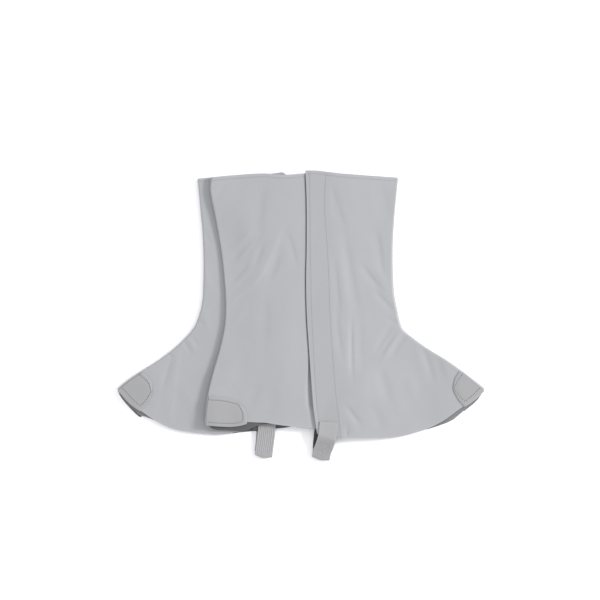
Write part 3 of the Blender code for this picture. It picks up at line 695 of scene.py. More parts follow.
def lifts(panel, x, y):
    """Return how far a panel of the upper gaiter is lifted at its heel edge and flap edge."""
    inside = x - read(HEEL_EDGE, "y", "x", y)
    near = 1.0 - ease(inside, EDGE_LIFT[0], EDGE_LIFT[1])
    result = near * read(HEEL_LIFTS, "y", "lift", y)
    if panel != "inner_panel":
        result = result - near * read(HEEL_LIFTS, "y", "press", y)
    if panel == "toe_panel":
        margin = 1.0 - ease(x - flap_edge(UPPER, y), 0.0, FLAP_MARGIN)
        result = result + margin * read(FLAP_LIFTS, "y", "lift", y)
    return result


def fold_share(gaiter, x, y):
    """Return 1 where folds may run, and 0 at the closure and the patches."""
    reach = x - flap_edge(gaiter, y)
    beyond = 1.0 - ease(reach, OVERLAP, OVERLAP + FOLD_CLEAR)
    closure = ease(reach, -FOLD_CLEAR, 0.0) * beyond
    toe = corner_share(x, y, gaiter.instep[-1], PATCH_FOLD_ROOM)
    heel = corner_share(x, y, gaiter.heel[-1], PATCH_FOLD_ROOM)
    return (1.0 - closure) * (1.0 - toe) * (1.0 - heel)


def flap_row_reach(gaiter, row, y):
    """Return how far inside the flap's edge one of its stitch rows runs."""
    return read(row, "y", "x", y) - flap_edge(UPPER, y)


def stitch_dip(gaiter, panel, x, y):
    """Return how deep the thread pulls the cloth in beside its stitch rows."""
    below_top = read(gaiter.tops[panel], "x", "y", x) - y
    dip = np.exp(-(((below_top - TOP_INSET) / DIP_WIDTH) ** 2))
    if panel == "toe_panel":
        reach = x - flap_edge(gaiter, y)
        for row in FLAP_ROWS:
            dip += np.exp(-(((reach - flap_row_reach(gaiter, row, y)) / DIP_WIDTH) ** 2))
    return DIP * dip


def relief(gaiter, panel, x, y):
    """Return what folds, stitches and unevenness add to a panel's height."""
    out = way_up(gaiter, panel)
    free = fold_share(gaiter, x, y)
    result = fold_height(gaiter.folds[panel], x, y) * free
    if is_top(gaiter, panel):
        for size, depth, seed in UNEVEN:
            result = result + noise_field(x, y, size, depth, seed) * free
    return result - out * stitch_dip(gaiter, panel, x, y)


# Plan of a panel

def edge_points(rows, share):
    return np.stack([read(rows, "share", "x", share), read(rows, "share", "y", share)], -1)


def seam_angle(gaiter, side, y):
    """Return where a seam lies round its folded edge. It rolls under towards the hem."""
    angle = gaiter.seams[side]
    if angle < 0.0:
        return np.full(np.shape(y), angle)
    return mix(SEAM_ROLLED, angle, ease(y, SEAM_ROLL[0], SEAM_ROLL[1]))


def edge_turn(gaiter, side, share):
    """Return the folded edge's centre, outward direction, middle height and radius."""
    rows = gaiter.heel if side == "heel" else gaiter.instep
    point = edge_points(rows, share)
    before = edge_points(rows, np.maximum(share - EDGE_SPAN, 0.0))
    after = edge_points(rows, np.minimum(share + EDGE_SPAN, 1.0))
    run = unit(after - before)
    outward = np.stack([run[..., 1], -run[..., 0]], -1)
    if side == "instep":
        outward = -outward
    closure_panel = "heel_panel" if side == "heel" else "toe_panel"
    inner = height(gaiter, "inner_panel", point[..., 0], point[..., 1])
    closure = height(gaiter, closure_panel, point[..., 0], point[..., 1])
    radius = np.abs(inner - closure) / 2.0
    beyond = gaiter.beyond[side]
    centre = point - outward * (CLOTH / 2 + radius - beyond)[..., None]
    return centre, outward, (inner + closure) / 2.0, radius


def turn_grid(gaiter, panel, side, share):
    """Return a panel's columns round its folded edge, from its flat part to the seam."""
    centre, outward, level, radius = edge_turn(gaiter, side, share)
    opening = np.minimum(np.degrees(SEAM_OPENING / 2 / radius), MOST_OPENING)
    seam = seam_angle(gaiter, side, centre[:, 1])
    top = is_top(gaiter, panel)
    flat = 90.0 if top else -90.0
    end = seam + opening if top else seam - opening
    count = max(LEAST_TURNS, round(np.abs(flat - seam).max() / TURN_STEP))
    steps = np.linspace(0.0, 1.0, count + 1)[1:]
    angle = np.radians(mix(flat, end[:, None], steps))
    reach = radius[:, None] - SEAM_CURL * ease(steps, CURL_START, 1.0)
    plan = centre[:, None] + outward[:, None] * (reach * np.cos(angle))[..., None]
    lift = relief(gaiter, panel, centre[:, 0], centre[:, 1])[:, None] * (1.0 - steps) ** 2
    z = level[:, None] + reach * np.sin(angle) + lift
    return np.concatenate([plan, z[..., None]], axis=-1)


def closure_grid(gaiter, panel, reaches, share):
    """Return plan points that run down the closure at distances from the flap's edge."""
    top_x = flap_edge(gaiter, CLOSURE_TOP) + reaches
    hem_x = flap_edge(gaiter, CLOSURE_HEM) + reaches
    top_y = read(gaiter.tops[panel], "x", "y", top_x)
    hem_y = read(gaiter.hems[panel], "x", "y", hem_x)
    y = mix(top_y[None, :], hem_y[None, :], share[:, None])
    return np.stack([flap_edge(gaiter, y) + reaches[None, :], y], axis=-1)


def part_grid(gaiter, panel, left, right, across, share):
    """Return plan points of the cloth between two lines, under its top edge and over its hem."""
    spot = mix(left[:, None], right[:, None], across[None, :, None])
    for end, table, weight in (
        (0, gaiter.tops[panel], 1.0 - share),
        (-1, gaiter.hems[panel], share * share),
    ):
        miss = read(table, "x", "y", spot[end, :, 0]) - spot[end, :, 1]
        ends = [read(table, "x", "y", line[end, 0]) - line[end, 1] for line in (left, right)]
        lift = miss - mix(ends[0], ends[1], across)
        spot[:, :, 1] += weight[:, None] * lift[None, :]
    return spot


def raised(gaiter, panel, plan):
    """Give plan points their panel's height."""
    x = plan[..., 0]
    y = plan[..., 1]
    z = height(gaiter, panel, x, y) + relief(gaiter, panel, x, y)
    return np.concatenate([plan, z[..., None]], axis=-1)


def near_edges(length, spacing):
    """Return shares of a length that are close together at both ends and evenly spaced between."""
    near = np.array(NEAR_EDGE) / length
    middle = spread(near[-1], 1.0 - near[-1], spacing / length)
    return np.concatenate([near[:-1], middle, 1.0 - near[-2::-1]])


def closure_reaches(panel, spacing):
    """Return the columns' distances from the flap's edge, close together at a free edge."""
    near = np.array(NEAR_EDGE)
    if panel == "heel_panel":
        before = spread(-RAMP, -UNDERLAP_BEND, spacing)[:-1]
        bend = spread(-UNDERLAP_BEND, UNDERLAP_BEND, BEND_SPACING)[:-1]
        beyond = spread(UNDERLAP_BEND, OVERLAP - near[-1], spacing)
        return np.concatenate([before, bend, beyond, OVERLAP - near[-2::-1]])
    if panel == "toe_panel":
        return np.concatenate([near[:-1], spread(near[-1], OVERLAP + RAMP, FLAP_SPACING)])
    return spread(-RAMP, OVERLAP + RAMP, spacing)


def panel_grid(gaiter, panel, spacing):
    """Return a panel's points, down its rows and from its heel end to its toe end."""
    share = near_edges(CLOSURE_TOP - CLOSURE_HEM, spacing)
    parts = []
    if panel != "toe_panel":
        parts.append(turn_grid(gaiter, panel, "heel", share)[:, ::-1])
        left = edge_turn(gaiter, "heel", share)[0]
        right = closure_grid(gaiter, panel, np.array([-RAMP]), share)[:, 0]
        across = spread(0.0, 1.0, spacing / HEEL_PART_WIDTH)[:-1]
        parts.append(raised(gaiter, panel, part_grid(gaiter, panel, left, right, across, share)))
    reaches = closure_reaches(panel, spacing)
    parts.append(raised(gaiter, panel, closure_grid(gaiter, panel, reaches, share)))
    if panel != "heel_panel":
        left = closure_grid(gaiter, panel, np.array([OVERLAP + RAMP]), share)[:, 0]
        right = edge_turn(gaiter, "instep", share)[0]
        across = spread(0.0, 1.0, spacing / TOE_PART_WIDTH)[1:]
        parts.append(raised(gaiter, panel, part_grid(gaiter, panel, left, right, across, share)))
        parts.append(turn_grid(gaiter, panel, "instep", share))
    return np.concatenate(parts, axis=1)


def placed(gaiter, grid):
    """Turn a gaiter's points over if it is the lower one."""
    if gaiter is UPPER:
        return grid
    return grid * (-1.0, 1.0, 1.0) + (LOWER_TURN, 0.0, 0.0)


# Meshes

def in_metres(points):
    """Put finished points in metres round the middle of the pair."""
    return (points - (*MIDDLE, 0.0)) * MM


def running(points, axis):
    """Return how far along its row or column each point of a grid lies."""
    steps = np.linalg.norm(np.diff(points, axis=axis), axis=-1)
    start = np.zeros_like(np.take(steps, [0], axis=axis))
    return np.concatenate([start, np.cumsum(steps, axis=axis)], axis=axis)


def edge_distances(points):
    """Return how far each point of a grid is from its first and last row and column."""
    down = running(points, 0)
    across = running(points, 1)
    return down, down[-1:] - down, across, across[:, -1:] - across


def worn_edges(points, free):
    """Return the wear at each point, which is most along the free edges."""
    return np.maximum.reduce([
        share * np.exp(-distance / WEAR_WIDTH)
        for share, distance in zip(free, edge_distances(points))
    ])


def pulled_in(face, bevels):
    """Move a face's border inward, so that the cut edge slopes and shows from its side."""
    result = face.copy()
    sides = (
        (np.s_[0], np.s_[1]),
        (np.s_[-1], np.s_[-2]),
        (np.s_[:, 0], np.s_[:, 1]),
        (np.s_[:, -1], np.s_[:, -2]),
    )
    for (edge, inner), distance in zip(sides, bevels):
        inward = face[inner] - face[edge]
        reach = np.linalg.norm(inward, axis=-1, keepdims=True)
        result[edge] += inward / np.maximum(reach, TINY) * np.minimum(distance, reach * MOST_PULL)
    return result


def border(rows, columns):
    """Return the numbers of a grid's points round its border, in order."""
    top = list(range(columns))
    right = [row * columns + columns - 1 for row in range(1, rows)]
    bottom = [(rows - 1) * columns + column for column in range(columns - 2, -1, -1)]
    left = [row * columns for row in range(rows - 2, 0, -1)]
    return top + right + bottom + left


def add_object(name, mesh, finishes, nodes=()):
    for finish in finishes:
        mesh.materials.append(finish)
    piece = bpy.data.objects.new(name, mesh)
    bpy.context.scene.collection.objects.link(piece)
    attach(piece, "root")
    if nodes:
        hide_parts(*nodes)
    return piece


def shell_faces(rows, columns, turned):
    """Return the faces of a shell's outer side, of its inner side and of the rim between them."""
    count = rows * columns
    start = np.arange(count).reshape(rows, columns)
    outer = np.stack([start[:-1, :-1], start[1:, :-1], start[1:, 1:], start[:-1, 1:]], -1)
    outer = outer.reshape(-1, 4)
    loop = np.array(border(rows, columns))
    after = np.roll(loop, -1)
    rim = np.stack([loop, after, after + count, loop + count], -1)
    if turned:
        outer = outer[:, ::-1]
        rim = rim[:, ::-1]
    return outer, outer[:, ::-1] + count, rim


def rim_edges(rows, columns):
    """Return the edges round both sides of a shell, each as a pair of points in rising order."""
    loop = border(rows, columns)
    count = rows * columns
    pairs = {tuple(sorted(pair)) for pair in zip(loop, loop[1:] + loop[:1])}
    return pairs | {(first + count, second + count) for first, second in pairs}


def mark_shell(mesh, middle, free):
    """Give a shell its sharp rim, its wear, and each corner's place on the flat cloth."""
    rims = rim_edges(*middle.shape[:2])
    sharp = np.array([tuple(sorted(key)) in rims for key in mesh.edge_keys])
    mesh.edges.foreach_set("use_edge_sharp", sharp)
    worn = np.tile(worn_edges(middle, free).ravel(), 2)
    mesh.attributes.new("wear", "FLOAT", "POINT").data.foreach_set("value", worn)
    flat = np.stack([running(middle, 1).ravel(), running(middle, 0).ravel()], -1) * MM
    corners = np.empty(len(mesh.loops), dtype=np.int32)
    mesh.loops.foreach_get("vertex_index", corners)
    layer = mesh.uv_layers.new(name="cloth")
    layer.data.foreach_set("uv", np.tile(flat, (2, 1))[corners].ravel())


def make_shell(name, middle, look, facing, rise=0.0, thin=0.0, turned_in=0.0):
    """Make a closed piece of cloth on a grid of points through the middle of its thickness.

    Its outer face looks up or down where it starts. The rise lifts parts of both faces, the
    cloth is skived thinner at its outer face, and the hem turned in shows the outer finish
    inside. Returns the piece, and the points and directions of its outer face."""
    rows, columns = middle.shape[:2]
    normals = unit(np.cross(np.gradient(middle, axis=0), np.gradient(middle, axis=1)))
    turned = normals[0, :, 2].mean() * facing < 0.0
    if turned:
        normals = -normals
    rise = np.broadcast_to(rise, (rows, columns))[..., None]
    thin = np.broadcast_to(thin, (rows, columns))[..., None]
    moved = middle + normals * rise
    front = pulled_in(moved + normals * (look.thickness / 2 - thin), look.bevels)
    back = moved - normals * look.thickness / 2
    points = in_metres(np.concatenate([front.reshape(-1, 3), back.reshape(-1, 3)]))
    outer, inner, rim = shell_faces(rows, columns, turned)
    mesh = bpy.data.meshes.new(name)
    mesh.from_pydata(points.tolist(), [], np.concatenate([outer, inner, rim]).tolist())
    hem = running(middle, 0)[1:, :-1].ravel() < turned_in
    kinds = np.concatenate([np.zeros(len(outer)), np.where(hem, 0, 1), np.full(len(rim), 2)])
    mesh.polygons.foreach_set("material_index", kinds.astype(np.int32))
    mesh.shade_smooth()
    mark_shell(mesh, middle, look.free)
    piece = add_object(name + "_cloth", mesh, look.finishes, [name])
    return piece, front, normals


# Panels and closure tapes

def panel_spacing(gaiter, panel):
    if not is_top(gaiter, panel):
        return COARSE
    return PLAIN_FINE if panel == "inner_panel" else FINE


def make_panel(gaiter, panel):
    grid = placed(gaiter, panel_grid(gaiter, panel, panel_spacing(gaiter, panel)))
    facing = way_up(gaiter, panel)
    name = f"{gaiter.name}_{panel}"
    look = PANEL_LOOKS[panel]
    # The upper gaiter's plain panel gets a near-black cut edge: painted shade, standing for the shade
    # that the near layer casts on its hem
    if gaiter is UPPER and panel == "inner_panel":
        look = look._replace(finishes=finishes("panel", "backing", "painted_shade_edge"))
    return make_shell(name, grid, look, facing, turned_in=TURNED_HEM)


def make_closure_tape(gaiter, kind, panel, look):
    """Make the hook or loop tape on the inner face of the panel that carries it."""
    out = way_up(gaiter, panel)
    inward = -out if panel == "toe_panel" else out
    y = spread(*(mix(CLOSURE_TOP, CLOSURE_HEM, share) for share in TAPE_SHARES), FINE)[:, None]
    x = flap_edge(gaiter, y) + spread(*TAPE_EDGES, FINE)[None, :]
    y = np.broadcast_to(y, x.shape)
    z = height(gaiter, panel, x, y) + inward * STEP
    grid = placed(gaiter, np.stack([x, y, z], axis=-1))
    return make_shell(f"{gaiter.name}_{kind}", grid, look, inward)


# Corner patches

def border_points(line, share):
    return np.stack([along(line, "x", share), along(line, "y", share)], axis=-1)


def hem_direction(table, x):
    """Return the direction out of the cloth, square to its hem."""
    rise = read(table, "x", "y", x + HEM_SPAN) - read(table, "x", "y", x - HEM_SPAN)
    return unit(np.stack([rise, np.full(np.shape(x), -2.0 * HEM_SPAN)], axis=-1))


def patch_plan(gaiter, place, panel):
    """Return a patch's plan: rows from the folded edge to its border, columns down to the hem."""
    side = "instep" if place == "toe" else "heel"
    table = gaiter.hems[panel]
    line = gaiter.borders[place]
    across = np.linspace(0.0, 1.0, PATCH_CELLS + 1)

    def side_points(share):
        centre, outward = edge_turn(gaiter, side, share)[:2]
        return centre - outward * PATCH_MARGIN

    tries = np.linspace(TRIES_START, 1.0, EDGE_TRIES)
    misses = np.linalg.norm(side_points(tries) - border_points(line, np.zeros(1)), axis=-1)
    start = tries[np.argmin(misses)]
    tip = side_points(np.ones(1))[0]
    end = border_points(line, np.ones(1))[0]
    hem_x = mix(tip[0], end[0], across)
    tip_miss = tip[1] - read(table, "x", "y", tip[0])
    hem = np.stack([hem_x, read(table, "x", "y", hem_x) + tip_miss * (1.0 - across)], axis=-1)
    run = side_points(mix(start, 1.0, across))
    border_end = border_points(line, mix(0.5, 1.0, across)) + (hem[-1] - end) * across[:, None]
    miss = run[0] - border_points(line, np.zeros(1))[0]
    border_start = border_points(line, across / 2.0) + miss * (1.0 - across)[:, None]
    u = across[:, None, None]
    v = across[None, :, None]
    corners = mix(mix(run[0], run[-1], v), mix(border_end[0], border_end[-1], v), u)
    plan = mix(run[None], border_end[None], u) + mix(border_start[:, None], hem[:, None], v)
    return plan - corners


def patch_grid(gaiter, place, panel):
    """Return a patch's points: full inside its border, dipped at its stitches, turned at the hem."""
    out = way_up(gaiter, panel)
    plan = patch_plan(gaiter, place, panel)
    z = height(gaiter, panel, plan[..., 0], plan[..., 1]) + out * STEP
    down = running(plan, 1)
    across = running(plan, 0)
    to_border = np.minimum(down, across[-1:] - across)
    to_hem = down[:, -1:] - down
    inset = PATCH_INSETS[place]
    puff = PATCH_PUFF * ease(np.minimum(to_border, to_hem + inset), inset, inset + PUFF_RAMP)
    dip = np.exp(-(((to_border - inset) / PATCH_DIP_WIDTH) ** 2))
    dip = dip + np.exp(-(((to_hem - HEM_INSETS[place]) / PATCH_DIP_WIDTH) ** 2))
    z = z - out * PATCH_DIP * np.minimum(dip, 1.0)
    if out > 0.0:
        z = z + puff
    columns = [np.concatenate([plan, z[..., None]], axis=-1)]
    last = columns[0][:, -1]
    past_hem = PATCH_REACHES[place] if out > 0.0 else UNDER_REACH
    reach = hem_direction(gaiter.hems[panel], last[:, 0]) * past_hem
    for step in np.linspace(0.0, 1.0, LIP_STEPS + 1)[1:]:
        drop = np.full(len(last), -out * PATCH_LIP * step * step)
        moved = last + np.concatenate([reach * step, drop[:, None]], axis=-1)
        columns.append(moved[:, None])
    return np.concatenate(columns, axis=1)


def make_patch(gaiter, place, panel, layer_name):
    """Make a corner patch, skived thin along its border."""
    grid = placed(gaiter, patch_grid(gaiter, place, panel))
    facing = way_up(gaiter, panel)
    distances = edge_distances(grid)
    to_border = np.minimum(distances[1], distances[2])
    thin = PATCH_SKIVE * (1.0 - ease(to_border, 0.0, SKIVE_WIDTH))
    look = PATCH_LOOK
    # A patch that faces down gets the backing inside and a near-black cut edge; the edge is painted
    # shade, standing for the shade under the layer above it
    if facing < 0.0:
        look = look._replace(finishes=finishes("patch", "backing", "painted_shade_edge"))
    return make_shell(f"{gaiter.name}_{place}_patch_{layer_name}", grid, look, facing, thin=thin)


# Straps

def band_points(x, y, turn, width, across, bow=0.0):
    """Return the plan of points across a band, whose sides are a bow's depth behind its middle."""
    sine = math.sin(math.radians(turn))
    cosine = math.cos(math.radians(turn))
    aside = across[:, None] * width * np.array([cosine, -sine])
    behind = (2.0 * across[:, None]) ** 2 * bow * np.array([sine, cosine])
    return np.array([x, y]) + aside + behind


def strap_grid(gaiter, panel, inside, stations, width, columns):
    """Return a band's points, on smooth curves through where it is sewn and where it lies free."""
    sewn, free = stations
    across = np.linspace(-0.5, 0.5, 3)
    out = way_up(gaiter, panel)
    sections = []
    for row in sewn:
        plan = band_points(row.x, row.y, row.turn, width, across)
        x = plan[:, 0] if gaiter is UPPER else LOWER_TURN - plan[:, 0]
        level = height(gaiter, panel, x, plan[:, 1]) + (-out if inside else out) * STEP
        sections.append(np.column_stack([plan, np.maximum(level, TRIM / 2)]))
    for row in free:
        plan = band_points(row.x, row.y, row.turn, width, across, row.bow)
        sections.append(np.column_stack([plan, np.full(3, max(row.z, TRIM / 2))]))
    sections = np.array(sections)
    lengths = running(sections, 0)[:, 1]
    places = spread(0.0, lengths[-1], BAND_SPACING)
    fine = np.empty((len(places), 3, 3))
    for column in range(3):
        for axis in range(3):
            fine[:, column, axis] = read_curve(lengths, sections[:, column, axis], places)
    shares = np.linspace(0.0, 1.0, columns)
    result = np.empty((len(places), columns, 3))
    for row in range(len(places)):
        for axis in range(3):
            result[row, :, axis] = read_curve(np.linspace(0.0, 1.0, 3), fine[row, :, axis], shares)
    result[..., 2] = np.maximum(result[..., 2], TRIM / 2)
    return result


def make_strap_tape(gaiter, stations):
    grid = strap_grid(gaiter, "toe_panel", False, stations, STRAP_WIDTH, TAPE_COLUMNS)
    facing = way_up(gaiter, "toe_panel")
    return make_shell(f"{gaiter.name}_strap_tape", grid, TAPE_LOOK, facing)


def make_strap_elastic(gaiter, stations):
    """Make the ribbed elastic: its ribs run along it and its rows of knitting cross them."""
    columns = ELASTIC_RIBS * RIB_STEPS + 1
    grid = strap_grid(gaiter, "inner_panel", True, stations, ELASTIC_WIDTH, columns)
    share = np.linspace(0.0, 1.0, columns)
    ribs = RIB_RISE * np.cos((share * ELASTIC_RIBS - 0.5) * 2.0 * math.pi)
    wobble = 1.0 + RIB_WOBBLE * np.sin(running(grid, 0) * 2.0 * math.pi / KNIT_ROW)
    facing = way_up(gaiter, "inner_panel")
    rise = ribs[None, :] * wobble
    return make_shell(f"{gaiter.name}_strap_elastic", grid, ELASTIC_LOOK, facing, rise=rise)


# Stitches

def at(grid, row, column):
    """Read a grid of points between its rows and columns."""
    low_row = np.clip(row.astype(int), 0, grid.shape[0] - 2)
    low_column = np.clip(column.astype(int), 0, grid.shape[1] - 2)
    u = (row - low_row)[:, None]
    v = (column - low_column)[:, None]
    first = mix(grid[low_row, low_column], grid[low_row, low_column + 1], v)
    last = mix(grid[low_row + 1, low_column], grid[low_row + 1, low_column + 1], v)
    return mix(first, last, u)


def inset_rows(points, column, inset):
    """Return the row places that lie an inset below the grid's first row."""
    down = running(points, 0)
    low = np.floor(column).astype(int)
    return np.array([np.interp(inset, down[:, c], np.arange(len(down))) for c in low])


def sewn_line(face, row, column, pitch, hole=HOLE):
    """Return evenly spaced points on a piece's outer face, their outward ways and their hole."""
    points, normals = face
    line = at(points, row, column)
    out = unit(at(normals, row, column))
    far = np.concatenate([[0.0], np.cumsum(np.linalg.norm(np.diff(line, axis=0), axis=-1))])
    count = max(2, round(far[-1] / pitch))
    places = np.linspace(0.0, far[-1], count + 1)
    spots = np.stack([np.interp(places, far, line[:, axis]) for axis in range(3)], axis=-1)
    outs = np.stack([np.interp(places, far, out[:, axis]) for axis in range(3)], axis=-1)
    return spots, unit(outs), hole


def top_line(face, first, last):
    """Return the stitch row below a panel's top edge, some columns inside both of its ends."""
    column = np.linspace(first, len(face[0][0]) - 1.0 - last, LINE_POINTS)
    return sewn_line(face, inset_rows(face[0], column, TOP_INSET), column, PITCH)


def flap_lines(gaiter, face):
    """Return the flap's two stitch rows. The grid's columns start at the flap's edge."""
    reaches = closure_reaches("toe_panel", panel_spacing(gaiter, "toe_panel"))
    rows = len(face[0])
    row = np.linspace(FLAP_END_ROWS, rows - 1.0 - FLAP_END_ROWS, LINE_POINTS)
    y = at(face[0], row, np.zeros(LINE_POINTS))[:, 1]
    lines = []
    for table in FLAP_ROWS:
        reach = flap_row_reach(gaiter, table, y)
        column = np.interp(reach, reaches, np.arange(len(reaches)))
        lines.append(sewn_line(face, row, column, PITCH))
    return lines


def patch_line(face, inset, hem_inset):
    """Return the stitch row that follows a patch's border and comes back along its hem."""
    points = face[0][:, : PATCH_CELLS + 1]
    down = running(points, 1)
    across = running(points, 0)
    ahead = np.linspace(0.0, 1.0, LINE_POINTS)
    cells = float(PATCH_CELLS)
    down_length = down[-1, -1]
    side_length = across[-1].mean()
    inner_row = cells * (1.0 - inset / side_length)
    near = cells * inset / down[:, -1].mean()
    hem_column = cells * (1.0 - hem_inset / down_length)
    start = np.column_stack([ahead * inner_row, np.full(LINE_POINTS, near)])
    end = np.column_stack([np.full(LINE_POINTS, inner_row), mix(near, hem_column, ahead)])
    left_row = inner_row * (1.0 - PATCH_LINE_SHARE * ahead)
    back = np.column_stack([left_row, np.full(LINE_POINTS, hem_column)])
    path = np.concatenate([start, end, back])
    for _ in range(ROUNDING):
        path[1:-1] = (path[:-2] + path[1:-1] + path[2:]) / 3.0
    return sewn_line(face, path[:, 0], path[:, 1], PATCH_PITCH, PATCH_HOLE)


def thread_points(first, second, out):
    """Return the rings of points round a thread that lies between two needle holes."""
    run = second - first
    pitch = np.linalg.norm(run)
    ahead = run / pitch
    aside = unit(np.cross(out, ahead))
    middle = (first + second) / 2.0
    return [
        middle
        + ahead * place * pitch * THREAD_LENGTH / 2.0
        + aside * math.cos(turn) * width
        + out * (rise + math.sin(turn) * width)
        for place, rise, width in zip(THREAD_PLACES, THREAD_HEIGHTS, THREAD_WIDTHS)
        for turn in STITCH_TURNS
    ]


def thread_faces():
    """Return a thread's faces: its sides from ring to ring, then its two ends."""
    last = (len(THREAD_PLACES) - 1) * STITCH_SIDES
    faces = []
    for ring in range(0, last, STITCH_SIDES):
        for side in range(STITCH_SIDES):
            first = ring + side
            second = ring + (side + 1) % STITCH_SIDES
            faces.append((first, first + STITCH_SIDES, second + STITCH_SIDES, second))
    faces.append(tuple(range(STITCH_SIDES)))
    faces.append(tuple(reversed(range(last, last + STITCH_SIDES))))
    return faces


def hole_points(spot, out, radius):
    """Return the points of a low double cone at a needle hole: its rim, its top and its foot."""
    aside = unit(np.cross(out, NOT_OUTWARD))
    ahead = np.cross(out, aside)
    raised = spot + out * HOLE_RISE
    rim = [
        raised + (aside * math.cos(turn) + ahead * math.sin(turn)) * radius
        for turn in STITCH_TURNS
    ]
    return rim + [raised + out * HOLE_RISE, spot - out * HOLE_RISE]


def hole_faces():
    """Return a needle hole's faces, from its rim to its top and to its foot."""
    faces = []
    for side in range(STITCH_SIDES):
        after = (side + 1) % STITCH_SIDES
        faces.append((side, STITCH_SIDES, after))
        faces.append((after, STITCH_SIDES + 1, side))
    return faces


def make_stitches(name, lines):
    """Make the threads and needle holes of several stitch rows as one joined mesh."""
    points = []
    faces = []
    kinds = []
    for spots, outs, hole in lines:
        threads = [thread_points(*ends) for ends in zip(spots[:-1], spots[1:], outs)]
        holes = [hole_points(spot, out, hole) for spot, out in zip(spots, outs)]
        for kind, forms, form_faces in ((0, threads, thread_faces()), (1, holes, hole_faces())):
            for form in forms:
                start = len(points)
                points += form
                faces += [tuple(start + corner for corner in face) for face in form_faces]
                kinds += [kind] * len(form_faces)
    points = in_metres(np.array(points))
    points[:, 2] = np.maximum(points[:, 2], 0.0)
    mesh = bpy.data.meshes.new(name)
    mesh.from_pydata(points.tolist(), [], faces)
    mesh.polygons.foreach_set("material_index", np.array(kinds, dtype=np.int32))
    mesh.shade_smooth()
    form = bmesh.new()
    form.from_mesh(mesh)
    bmesh.ops.recalc_face_normals(form, faces=form.faces)
    form.to_mesh(mesh)
    form.free()
    return add_object(name, mesh, finishes("thread", "needle_hole"))


# Finishes: all of their sizes are in millimetres

def new_finish(name):
    finish = bpy.data.materials.new(name)
    finish.use_nodes = True
    return finish, finish.node_tree, finish.node_tree.nodes["Principled BSDF"]


def add_node(tree, kind, inputs, **settings):
    """Add a shader node. Each input is a constant, or a socket that gets linked to it."""
    node = tree.nodes.new("ShaderNode" + kind)
    for name, value in settings.items():
        setattr(node, name, value)
    for name, value in inputs.items():
        socket = node.inputs[name]
        if isinstance(value, bpy.types.NodeSocket):
            tree.links.new(value, socket)
        else:
            socket.default_value = value
    return node


def in_space(tree):
    """Return the place in the object's own space."""
    return add_node(tree, "TexCoord", {}).outputs["Object"]


def on_cloth(tree):
    """Return the place on the cloth, along its rows and columns."""
    return add_node(tree, "UVMap", {}).outputs["UV"]


def wear(tree):
    return add_node(tree, "Attribute", {}, attribute_name="wear").outputs["Fac"]


def axis_of(tree, place, axis):
    return add_node(tree, "SeparateXYZ", {"Vector": place}).outputs[axis]


def cloud(tree, place, size, detail=3.0, roughness=0.5):
    """Return uneven values from 0 to 1, with spots of a size."""
    inputs = {"Vector": place, "Scale": 1.0 / (size * MM), "Detail": detail, "Roughness": roughness}
    return add_node(tree, "TexNoise", inputs).outputs["Fac"]


def cells(tree, place, size, randomness, feature="F1"):
    """Return the distance from the middles of cells of a size."""
    inputs = {"Vector": place, "Scale": 1.0 / (size * MM), "Randomness": randomness}
    return add_node(tree, "TexVoronoi", inputs, feature=feature).outputs["Distance"]


def bands(tree, place, direction, size):
    """Return smooth stripes from 0 to 1 with a period of a size."""
    inputs = {"Vector": place, "Scale": 2.0 * math.pi / (WAVE_TURNS * size * MM)}
    return add_node(tree, "TexWave", inputs, bands_direction=direction).outputs["Fac"]


def math_node(tree, operation, *values):
    return add_node(tree, "Math", dict(enumerate(values)), operation=operation).outputs[0]


def ranged(tree, value, low, high, start, end):
    """Turn values from low to high into values from start to end."""
    inputs = {"Value": value, "From Min": low, "From Max": high, "To Min": start, "To Max": end}
    return add_node(tree, "MapRange", inputs).outputs["Result"]


def sum_of(tree, first, second, share):
    """Return the first value plus a share of the second."""
    return math_node(tree, "MULTIPLY_ADD", second, share, first)


def product(tree, first, second):
    return math_node(tree, "MULTIPLY", first, second)


def blend(tree, share, first, second):
    """Return a colour a share of the way from one colour to another."""
    inputs = {0: share, 6: first, 7: second}
    return add_node(tree, "Mix", inputs, data_type="RGBA").outputs[2]


def grey(value, warmth=0.0):
    """Return a light grey colour. Warmth moves it from blue towards yellow."""
    return (value * (1.0 + warmth), value, value * (GREY_BLUE - warmth), 1.0)


def tones(tree, share, tone, first, second, warmth=0.0):
    """Return a grey that goes from one multiple of a tone to another."""
    return blend(tree, share, grey(tone * first, warmth), grey(tone * second, warmth))


def dress(tree, shader, shade, rough, heights, depth, strength, constants):
    """Give a shader its colour, its roughness, its relief and its constants."""
    tree.links.new(shade, shader.inputs["Base Color"])
    tree.links.new(rough, shader.inputs["Roughness"])
    inputs = {"Height": heights, "Distance": depth * MM, "Strength": strength}
    tree.links.new(add_node(tree, "Bump", inputs).outputs["Normal"], shader.inputs["Normal"])
    for name, value in constants.items():
        shader.inputs[name].default_value = value


